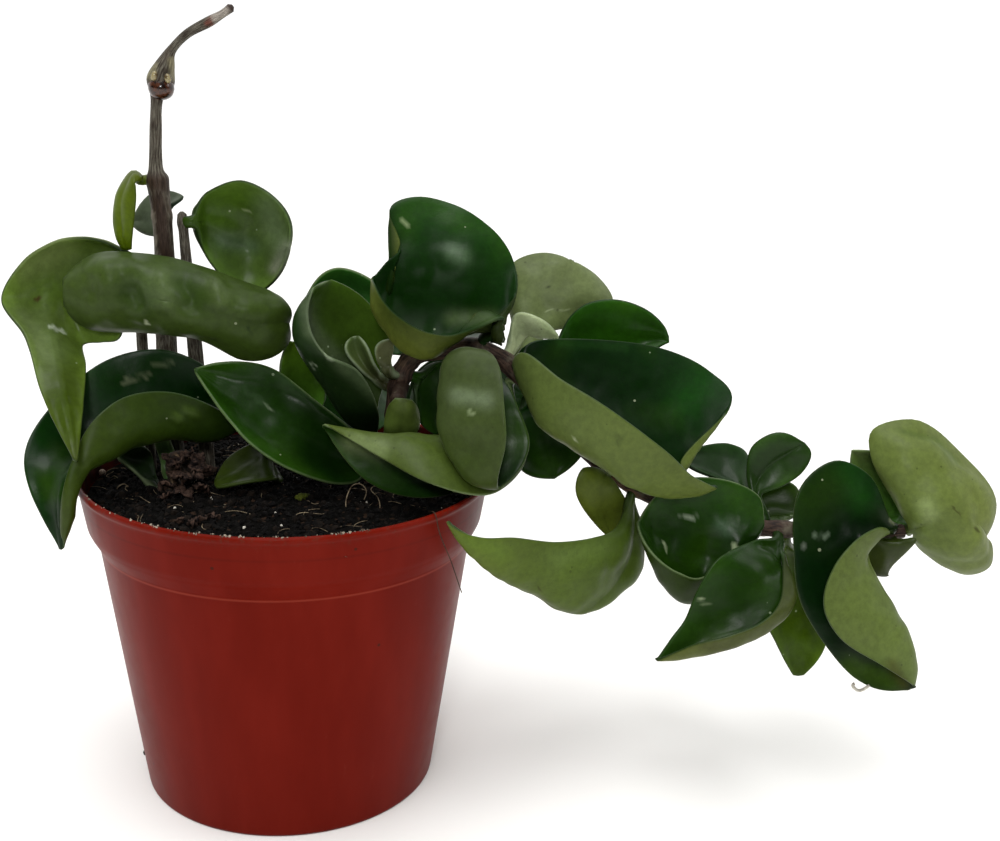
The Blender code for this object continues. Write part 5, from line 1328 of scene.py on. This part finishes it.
def stem_piece(name, material, seed):
    """A stem with a swelling at each joint, shallow ribs along it, and a rounded tip."""
    line = stem_line(name)
    lengths = running_length(line[:, :3])
    wanted = np.linspace(0, lengths[-1], int(lengths[-1] / STEM_STEP) + 1)
    rings = at_lengths(lengths, wanted, line)
    middle = rings[:, :3]
    radius = rings[:, 3]
    for place in joints_on(name):
        radius = radius + JOINT_SWELLING * np.exp(-((wanted - place) / JOINT_REACH)**2)
    radius = radius * np.sqrt(np.clip((lengths[-1] - wanted) / END_ROUNDING + 0.12, 0, 1))
    turns = np.linspace(0, 2 * math.pi, STEM_SIDES, endpoint=False)
    ribs = [[noise.noise(Vector((math.cos(a) * 2.2, math.sin(a) * 2.2, far * 0.09 + seed))) for a in turns]
            for far in wanted]
    along = unit(np.gradient(middle, axis=0))
    side = unit(np.cross(along[0], [0.0, 1.0, 0.0]))
    points = tube_points(middle, along, side, radius[:, None] * (1 + RIB_DEPTH * np.array(ribs)))
    piece = new_piece(name, points, tube_faces(len(wanted), STEM_SIDES), material, name)
    unroll_bark(piece.data, wanted)
    blank = np.zeros((len(points), 1))
    tint, cover, shine = with_marks_and_painted_light(name, points, np.zeros((len(points), 3)), blank, 4)
    paint(piece.data, tint / np.maximum(cover, 1e-3), {"cover": cover, "shine": shine})
    return piece


# Geometry node trees


def new_tree(name, inputs):
    """A geometry tree with named inputs after its geometry."""
    tree = bpy.data.node_groups.new(name, 'GeometryNodeTree')
    tree.interface.new_socket("Geometry", in_out='INPUT', socket_type='NodeSocketGeometry')
    tree.interface.new_socket("Geometry", in_out='OUTPUT', socket_type='NodeSocketGeometry')
    for label, kind in inputs:
        tree.interface.new_socket(label, in_out='INPUT', socket_type='NodeSocket' + kind)
    return tree, put(tree, 'NodeGroupInput')


def end_tree(tree, geometry, material, smooth):
    """Close a tree with real geometry, its shading and its material."""
    real = put(tree, 'GeometryNodeRealizeInstances', {0: geometry})[0]
    shaded = put(tree, 'GeometryNodeSetShadeSmooth', {'Geometry': real, 'Shade Smooth': smooth})[0]
    done = put(tree, 'GeometryNodeSetMaterial', {'Geometry': shaded, 'Material': material})[0]
    put(tree, 'NodeGroupOutput', {0: done})


def grow(name, carrier_mesh, tree, values, node=None):
    """Run a tree on a carrier mesh, and keep the result as a plain piece."""
    carrier = bpy.data.objects.new("carrier", carrier_mesh)
    bpy.context.scene.collection.objects.link(carrier)
    modifier = carrier.modifiers.new("grow", 'NODES')
    modifier.node_group = tree
    for item in tree.interface.items_tree:
        if item.item_type == 'SOCKET' and item.in_out == 'INPUT' and item.name in values:
            modifier[item.identifier] = values[item.name]
    graph = bpy.context.evaluated_depsgraph_get()
    mesh = bpy.data.meshes.new_from_object(carrier.evaluated_get(graph), depsgraph=graph)
    mesh.name = name
    bpy.data.objects.remove(carrier, do_unlink=True)
    return settle(bpy.data.objects.new(name, mesh), node)


def turned_pot_tree():
    """A profile turned into a pot: its corners rounded, its floor drilled with drain holes."""
    tree, given = new_tree("turned_pot", [("Corner radius", 'Float'), ("Rings", 'Int'), ("Sides", 'Int'),
                                          ("Hole radius", 'Float'), ("Hole circle", 'Float'),
                                          ("Holes", 'Int'), ("Material", 'Material')])
    outline = put(tree, 'GeometryNodeMeshToCurve', {'Mesh': given['Geometry']})[0]
    rounded = put(tree, 'GeometryNodeFilletCurve', {'Curve': outline, 'Radius': given['Corner radius'],
                                                    'Limit Radius': True, 'Count': 5}, mode='POLY')[0]
    # A flat sheet is wrapped round the axis: its length goes round, and its height follows the profile
    sheet = put(tree, 'GeometryNodeMeshGrid', {'Size X': 1.0, 'Size Y': 1.0, 'Vertices X': given['Sides'],
                                               'Vertices Y': given['Rings']})[0]
    place = put(tree, 'ShaderNodeSeparateXYZ', {0: put(tree, 'GeometryNodeInputPosition')[0]})
    turn = put(tree, 'ShaderNodeMath', {0: place['X'], 1: 2 * math.pi}, operation='MULTIPLY')[0]
    share = put(tree, 'ShaderNodeMath', {0: place['Y'], 1: 0.5}, operation='ADD')[0]
    on_line = put(tree, 'GeometryNodeSampleCurve', {'Curves': rounded, 'Factor': share}, mode='FACTOR')
    read = put(tree, 'ShaderNodeSeparateXYZ', {0: on_line['Position']})
    wrapped = {2: read['Z']}
    for axis, swing in enumerate(('COSINE', 'SINE')):
        part = put(tree, 'ShaderNodeMath', {0: turn}, operation=swing)[0]
        wrapped[axis] = put(tree, 'ShaderNodeMath', {0: read['X'], 1: part}, operation='MULTIPLY')[0]
    position = put(tree, 'ShaderNodeCombineXYZ', wrapped)[0]
    wall = put(tree, 'GeometryNodeSetPosition', {'Geometry': sheet, 'Position': position})[0]
    wall = put(tree, 'GeometryNodeMergeByDistance', {'Geometry': wall, 'Distance': 1e-6})[0]
    drill = put(tree, 'GeometryNodeMeshCylinder', {'Vertices': 32, 'Radius': given['Hole radius'],
                                                   'Depth': 8.0 * MM})[0]
    circle = put(tree, 'GeometryNodeMeshCircle', {'Vertices': given['Holes'],
                                                  'Radius': given['Hole circle']})[0]
    drills = put(tree, 'GeometryNodeInstanceOnPoints', {'Points': circle, 'Instance': drill})[0]
    drills = put(tree, 'GeometryNodeRealizeInstances', {0: drills})[0]
    cut = put(tree, 'GeometryNodeMeshBoolean', {'Mesh 1': wall, 'Mesh 2': drills}, operation='DIFFERENCE')
    end_tree(tree, cut['Mesh'], given['Material'], True)
    return tree


def crumb_tree():
    """Irregular crumbs thrown at random over the carrier's faces."""
    tree, given = new_tree("thrown_crumbs", [("Crumbs per square metre", 'Float'), ("Smallest", 'Float'),
                                             ("Largest", 'Float'), ("Seed", 'Int'), ("Roundness", 'Int'),
                                             ("Sunk", 'Float'), ("Material", 'Material')])
    thrown = put(tree, 'GeometryNodeDistributePointsOnFaces',
                 {'Mesh': given['Geometry'], 'Density': given['Crumbs per square metre'],
                  'Seed': given['Seed']})
    ball = put(tree, 'GeometryNodeMeshIcoSphere', {'Radius': 1.0, 'Subdivisions': given['Roundness']})[0]
    lumps = put(tree, 'ShaderNodeTexNoise', {'Scale': 1.3, 'Detail': 2.0})['Color']
    lumps = put(tree, 'ShaderNodeVectorMath', {0: lumps, 1: (0.5, 0.5, 0.5)}, operation='SUBTRACT')[0]
    lumps = put(tree, 'ShaderNodeVectorMath', {0: lumps, 1: (1.5, 1.5, 1.5)}, operation='MULTIPLY')[0]
    crumb = put(tree, 'GeometryNodeSetPosition', {'Geometry': ball, 'Offset': lumps})[0]
    size = put(tree, 'FunctionNodeRandomValue', {'Min': given['Smallest'], 'Max': given['Largest'],
                                                 'Seed': given['Seed']}, data_type='FLOAT')['Value']
    shape = put(tree, 'FunctionNodeRandomValue', {0: (0.6, 0.5, 0.35), 1: (1.0, 1.0, 0.9), 'Seed': 5},
                data_type='FLOAT_VECTOR')[0]
    scale = put(tree, 'ShaderNodeVectorMath', {0: shape, 'Scale': size}, operation='SCALE')[0]
    turn = put(tree, 'FunctionNodeRandomValue', {0: (0.0, 0.0, 0.0), 1: (6.28, 6.28, 6.28), 'Seed': 9},
               data_type='FLOAT_VECTOR')[0]
    sunk = put(tree, 'ShaderNodeVectorMath', {0: thrown['Normal'], 'Scale': given['Sunk']},
               operation='SCALE')[0]
    points = put(tree, 'GeometryNodeSetPosition', {'Geometry': thrown['Points'], 'Offset': sunk})[0]
    crumbs = put(tree, 'GeometryNodeInstanceOnPoints', {'Points': points, 'Instance': crumb,
                                                        'Rotation': turn, 'Scale': scale})[0]
    end_tree(tree, crumbs, given['Material'], False)
    return tree


def fibre_tree():
    """Short bent fibres that lie at random on the carrier's faces."""
    tree, given = new_tree("lying_fibres", [("Fibres per square metre", 'Float'), ("Length", 'Float'),
                                            ("Thickness", 'Float'), ("Tilt", 'Float'), ("Seed", 'Int'),
                                            ("Material", 'Material')])
    thrown = put(tree, 'GeometryNodeDistributePointsOnFaces',
                 {'Mesh': given['Geometry'], 'Density': given['Fibres per square metre'],
                  'Seed': given['Seed']})
    line = put(tree, 'GeometryNodeCurvePrimitiveBezierSegment',
               {'Resolution': 10, 'Start': (-0.5, 0.0, 0.0), 'Start Handle': (-0.25, 0.32, 0.12),
                'End Handle': (0.2, -0.3, 0.16), 'End': (0.5, 0.1, 0.0)})[0]
    longer = put(tree, 'ShaderNodeCombineXYZ', {axis: given['Length'] for axis in range(3)})[0]
    line = put(tree, 'GeometryNodeTransform', {'Geometry': line, 'Scale': longer})[0]
    ring = put(tree, 'GeometryNodeCurvePrimitiveCircle', {'Resolution': 5, 'Radius': given['Thickness']})[0]
    fibre = put(tree, 'GeometryNodeCurveToMesh', {'Curve': line, 'Profile Curve': ring,
                                                  'Fill Caps': True})[0]
    other_way = put(tree, 'ShaderNodeMath', {0: given['Tilt'], 1: -1.0}, operation='MULTIPLY')[0]
    low = put(tree, 'ShaderNodeCombineXYZ', {0: other_way, 2: -3.14})[0]
    high = put(tree, 'ShaderNodeCombineXYZ', {0: given['Tilt'], 2: 3.14})[0]
    turn = put(tree, 'FunctionNodeRandomValue', {0: low, 1: high, 'Seed': 4}, data_type='FLOAT_VECTOR')[0]
    scale = put(tree, 'FunctionNodeRandomValue', {0: (0.3, 0.3, 0.3), 1: (1.0, 1.0, 1.0), 'Seed': 6},
                data_type='FLOAT_VECTOR')[0]
    lying = put(tree, 'GeometryNodeInstanceOnPoints', {'Points': thrown['Points'], 'Instance': fibre,
                                                       'Rotation': turn, 'Scale': scale})[0]
    end_tree(tree, lying, given['Material'], True)
    return tree


# Pot and soil


def pot_piece(material):
    """The pot, turned from its profile."""
    outline = bpy.data.meshes.new("pot_outline")
    corners = POT_OUTSIDE + POT_INSIDE
    edges = [(i, i + 1) for i in range(len(corners) - 1)]
    outline.from_pydata([(radius * MM, 0.0, height * MM) for radius, height in corners], edges, [])
    values = {"Corner radius": 0.55 * MM, "Rings": 420, "Sides": 161, "Hole radius": 4.0 * MM,
              "Hole circle": 24.0 * MM, "Holes": 6, "Material": material}
    return grow("pot", outline, turned_pot_tree(), values, "pot")


def soil_height(x, y):
    """The soil's lumpy surface, a little lower towards the wall."""
    place = Vector((x / 7.0, y / 7.0, 1.7))
    fine = Vector((x / 2.2, y / 2.2, 4.1))
    reach = min(1.0, math.hypot(x, y) / SOIL_EDGE)
    rise = 0.7 * noise.noise(place) + 0.45 * noise.noise(fine)
    return SOIL_TOP - 0.8 * reach**2 + rise * (1 - 0.5 * reach) * 0.9


def soil_piece(material):
    """The root ball: a lumpy top, and a side that follows the pot's inner wall."""
    sides = 160
    steps = 44
    turns = [2 * math.pi * k / sides for k in range(sides)]
    points = [(0.0, 0.0, soil_height(0.0, 0.0))]
    for i in range(1, steps + 1):
        radius = SOIL_EDGE * i / steps
        for turn in turns:
            x, y = radius * math.cos(turn), radius * math.sin(turn)
            points.append((x, y, soil_height(x, y)))
    wall = [(radius - SOIL_GAP, height) for radius, height in POT_INSIDE[2:5]]
    wall.append((POT_BASE - POT_WALL - SOIL_GAP, SOIL_FOOT))
    for radius, height in wall:
        points += [(radius * math.cos(turn), radius * math.sin(turn), height) for turn in turns]
    rings = steps + len(wall)
    faces = [(0, 1 + k, 1 + (k + 1) % sides) for k in range(sides)]
    faces += [(1 + a, 1 + d, 1 + c, 1 + b) for a, b, c, d in ring_faces(rings, sides)]
    last = 1 + (rings - 1) * sides
    faces.append(tuple(range(last + sides - 1, last - 1, -1)))
    return new_piece("soil", points, faces, material, "soil")


def patch(low_radius, high_radius, height, start=0.0, end=360.0, sides=96):
    """A ring or part of one, to throw crumbs on. height is a number, or a rule of x and y."""
    rings = 8
    points = []
    for radius in np.linspace(low_radius, high_radius, rings):
        for degrees in np.linspace(start, end, sides):
            x, y = radius * math.cos(math.radians(degrees)), radius * math.sin(math.radians(degrees))
            z = height(x, y) if callable(height) else height
            points.append((x * MM, y * MM, z * MM))
    corners = [i * sides + k for i in range(rings - 1) for k in range(sides - 1)]
    faces = [(here, here + sides, here + sides + 1, here + 1) for here in corners]
    mesh = bpy.data.meshes.new("patch")
    mesh.from_pydata(points, [], faces)
    return mesh


def scatter_soil(skins):
    """Crumbs, bark bits, white grit and fibres on the soil, and dust and crumbs on the pot's lip."""
    crumbs = crumb_tree()
    top = (1.0, SCATTERED_TO, soil_height)
    for name, skin, density, small, large, seed, roundness in SOIL_BITS:
        values = {"Crumbs per square metre": float(density), "Smallest": small * MM, "Largest": large * MM,
                  "Seed": seed, "Roundness": roundness, "Sunk": 0.1 * MM, "Material": skins[skin]}
        grow(name, patch(*top), crumbs, values)
    values = {"Fibres per square metre": 12000.0, "Length": 9.0 * MM, "Thickness": 0.11 * MM, "Tilt": 0.35,
              "Seed": 4, "Material": skins["fibre"]}
    grow("soil_fibres", patch(*top), fibre_tree(), values)
    for name, density, small, large, start, end, sides in LIP_BITS:
        values = {"Crumbs per square metre": float(density), "Smallest": small * MM, "Largest": large * MM,
                  "Seed": 5, "Roundness": 1, "Sunk": 0.0, "Material": skins["lip_dust"]}
        lip = patch(POT_RIM - LIP_WIDTH, POT_RIM - 0.3, POT_HEIGHT, start, end, sides)
        grow(name, lip, crumbs, values)


# Small things


def thread(name, places, radius, material):
    """A thin round thread through places given in true millimetres."""
    line = spline(places, 60)
    reaches = np.full((len(line), THREAD_SIDES), radius)
    points = tube_points(line, unit(np.gradient(line, axis=0)), np.array([1.0, 0.3, 0.0]), reaches)
    return new_piece(name, points, tube_faces(*reaches.shape), material)


def lump(name, centre, sizes, turn, unevenness, material, seed):
    """A closed lump at a true place in millimetres: a ball stretched, turned and made uneven."""
    ball = bmesh.new()
    bmesh.ops.create_icosphere(ball, subdivisions=3, radius=1.0)
    places = np.array([v.co for v in ball.verts])
    faces = [[v.index for v in face.verts] for face in ball.faces]
    ball.free()
    swell = 1 + unevenness * clouds(places, 0.8, seed)[:, None]
    swell = swell + unevenness * 0.6 * clouds(places, 0.3, seed + 1)[:, None]
    turned = np.array(Euler(np.radians(turn)).to_matrix())
    return new_piece(name, (places * swell * sizes) @ turned.T + centre, faces, material)


def husk(name, centre, size, seed, material):
    """A crumpled dry flake, thin and ragged."""
    rows = 13
    chance = random.Random(seed)
    grid = np.array([[(x, y, 0.0) for x in np.linspace(-1, 1, rows)] for y in np.linspace(-0.7, 0.7, rows)])
    crumple = np.stack([clouds(grid, 0.45, seed + k) for k in range(3)], 2)
    ragged = 1 + 0.45 * clouds(grid, 0.4, seed + 4)[..., None]
    sheet = (grid * ragged + crumple * (0.3, 0.3, 0.8)) * size
    turned = np.array(Euler([chance.uniform(-0.9, 0.9), chance.uniform(-0.9, 0.9),
                             chance.uniform(0, 6.28)]).to_matrix())
    sheet = sheet @ turned.T + centre
    half = normals(sheet) * HUSK_HALF_THICKNESS
    points = np.concatenate([(sheet + half).reshape(-1, 3), (sheet - half).reshape(-1, 3)])
    count = rows * rows
    faces = []
    for here in (i * rows + k for i in range(rows - 1) for k in range(rows - 1)):
        square = (here, here + rows, here + rows + 1, here + 1)
        faces.append(square)
        faces.append(tuple(count + c for c in square[::-1]))
    # The rim runs along the first row, down the last column, back along the last row and up
    # the first column
    places = np.arange(count).reshape(rows, rows)
    rim = [*places[0], *places[1:, -1], *places[-1, -2::-1], *places[-2:0:-1, 0]]
    for here, after in zip(rim, rim[1:] + rim[:1]):
        faces.append((here, after, after + count, here + count))
    return new_piece(name, points, faces, material)


def add_details(skins):
    """The small things that the photograph shows on the stems, the soil and the pot."""
    for name, place, sizes, turn, unevenness, skin, slot, seed in JOINT_LUMPS:
        lump(name, place, sizes, turn, unevenness, skins[skin], seed)
    for name, radius, skin, slot, places in THREADS:
        thread(name, places, radius, skins[skin])
    for k, (place, size) in enumerate(HUSKS):
        husk("husk_%d" % k, place, size, 40 + k, skins["husk"])
    for name, place, sizes, turn, unevenness, skin, slot, seed in SOIL_LUMPS:
        lump(name, place, sizes, turn, unevenness, skins[skin], seed)


# Studio


def add_camera():
    """The camera at the photograph's place, turned and tilted as it was."""
    data = bpy.data.cameras.new("camera")
    data.lens = LENS
    data.sensor_width = SENSOR
    data.clip_start = 0.01
    camera = bpy.data.objects.new("camera", data)
    bpy.context.scene.collection.objects.link(camera)
    pitch = math.radians(CAMERA_PITCH)
    roll = math.radians(CAMERA_ROLL)
    ahead = Vector((0.0, math.cos(pitch), -math.sin(pitch)))
    level = Vector((1.0, 0.0, 0.0))
    above = level.cross(ahead)
    right = math.cos(roll) * level + math.sin(roll) * above
    up = math.cos(roll) * above - math.sin(roll) * level
    turn = Matrix((right, up, -ahead)).transposed().to_4x4()
    camera.matrix_world = Matrix.Translation(Vector(EYE) * MM) @ turn
    bpy.context.scene.camera = camera


def add_lamp(name, kind, energy, **settings):
    """A white lamp with its settings."""
    data = bpy.data.lights.new(name, kind)
    data.energy = energy
    for key, value in settings.items():
        setattr(data, key, value)
    lamp = bpy.data.objects.new(name, data)
    bpy.context.scene.collection.objects.link(lamp)
    return lamp


def add_studio():
    """A pale floor in a room that is white behind and above and dark behind the camera."""
    world = bpy.data.worlds.new("pale_room")
    world.use_nodes = True
    tree = world.node_tree
    direction = put(tree, 'ShaderNodeTexCoord')['Object']
    parts = put(tree, 'ShaderNodeSeparateXYZ', {0: direction})
    walls = put(tree, 'ShaderNodeMapRange', {0: parts['Y'], 1: -0.35, 2: 0.35, 3: DARK_WALL, 4: WHITE_WALL},
                interpolation_type='SMOOTHSTEP')[0]
    ceiling = put(tree, 'ShaderNodeMapRange', {0: parts['Z'], 1: 0.35, 2: 0.85, 3: 0.0, 4: CEILING},
                  interpolation_type='SMOOTHSTEP')[0]
    brightness = put(tree, 'ShaderNodeMath', {0: walls, 1: ceiling}, operation='ADD')[0]
    fill(tree, tree.nodes['Background'], {'Color': rgba("FFFFFF"), 'Strength': brightness})
    bpy.context.scene.world = world
    bpy.context.scene.view_settings.view_transform = 'Standard'
    for name, place, size, watts in SOFTBOXES:
        lamp = add_lamp(name, 'AREA', watts, shape='SQUARE', size=size)
        lamp.location = place
        aim = Vector(LIT_PLACE) - Vector(place)
        lamp.rotation_euler = aim.to_track_quat('-Z', 'Y').to_euler()
    # Even soft light from far above keeps the floor pale to its edge
    overhead = add_lamp("overhead", 'SUN', OVERHEAD_STRENGTH, angle=math.radians(OVERHEAD_SPREAD))
    overhead.rotation_euler = Vector(OVERHEAD_PLACE).to_track_quat('Z', 'Y').to_euler()
    mesh = bpy.data.meshes.new("floor")
    mesh.from_pydata([(-3, -3, 0), (3, -3, 0), (3, 3, 0), (-3, 3, 0)], [], [(0, 1, 2, 3)])
    mesh.materials.append(studio_paper())
    floor = bpy.data.objects.new("floor", mesh)
    bpy.context.scene.collection.objects.link(floor)


def main():
    add_studio()
    add_camera()
    skins = {
        "leaf": waxy_leaf(),
        "dead": dead_leaf(),
        "grey": bark("weathered_bark", "2A2118", "6A665A", "4A4034"),
        "red": bark("young_bark", "1E1410", "4E3B30", "5C5648"),
        "bud": bud_scale("bud_scale", "170904", "4A2818"),
        "eye": bud_scale("bud_eye", "4A3A22", "9C9068"),
        "pot": moulded_polypropylene(),
        "soil": potting_mix(),
    }
    for key, (name, dark, pale, roughness) in LOOSE_MATTER.items():
        skins[key] = loose_bits(name, dark, pale, roughness)
    for seed, name in enumerate(LEAVES):
        leaf_piece(name, seed, skins)
    for seed, name in enumerate(STEMS):
        skin, slot = ("red", "stem_red") if name == "stem_rope" else ("grey", "stem_grey")
        stem_piece(name, skins[skin], seed)
    pot_piece(skins["pot"])
    soil_piece(skins["soil"])
    scatter_soil(skins)
    add_details(skins)


main()
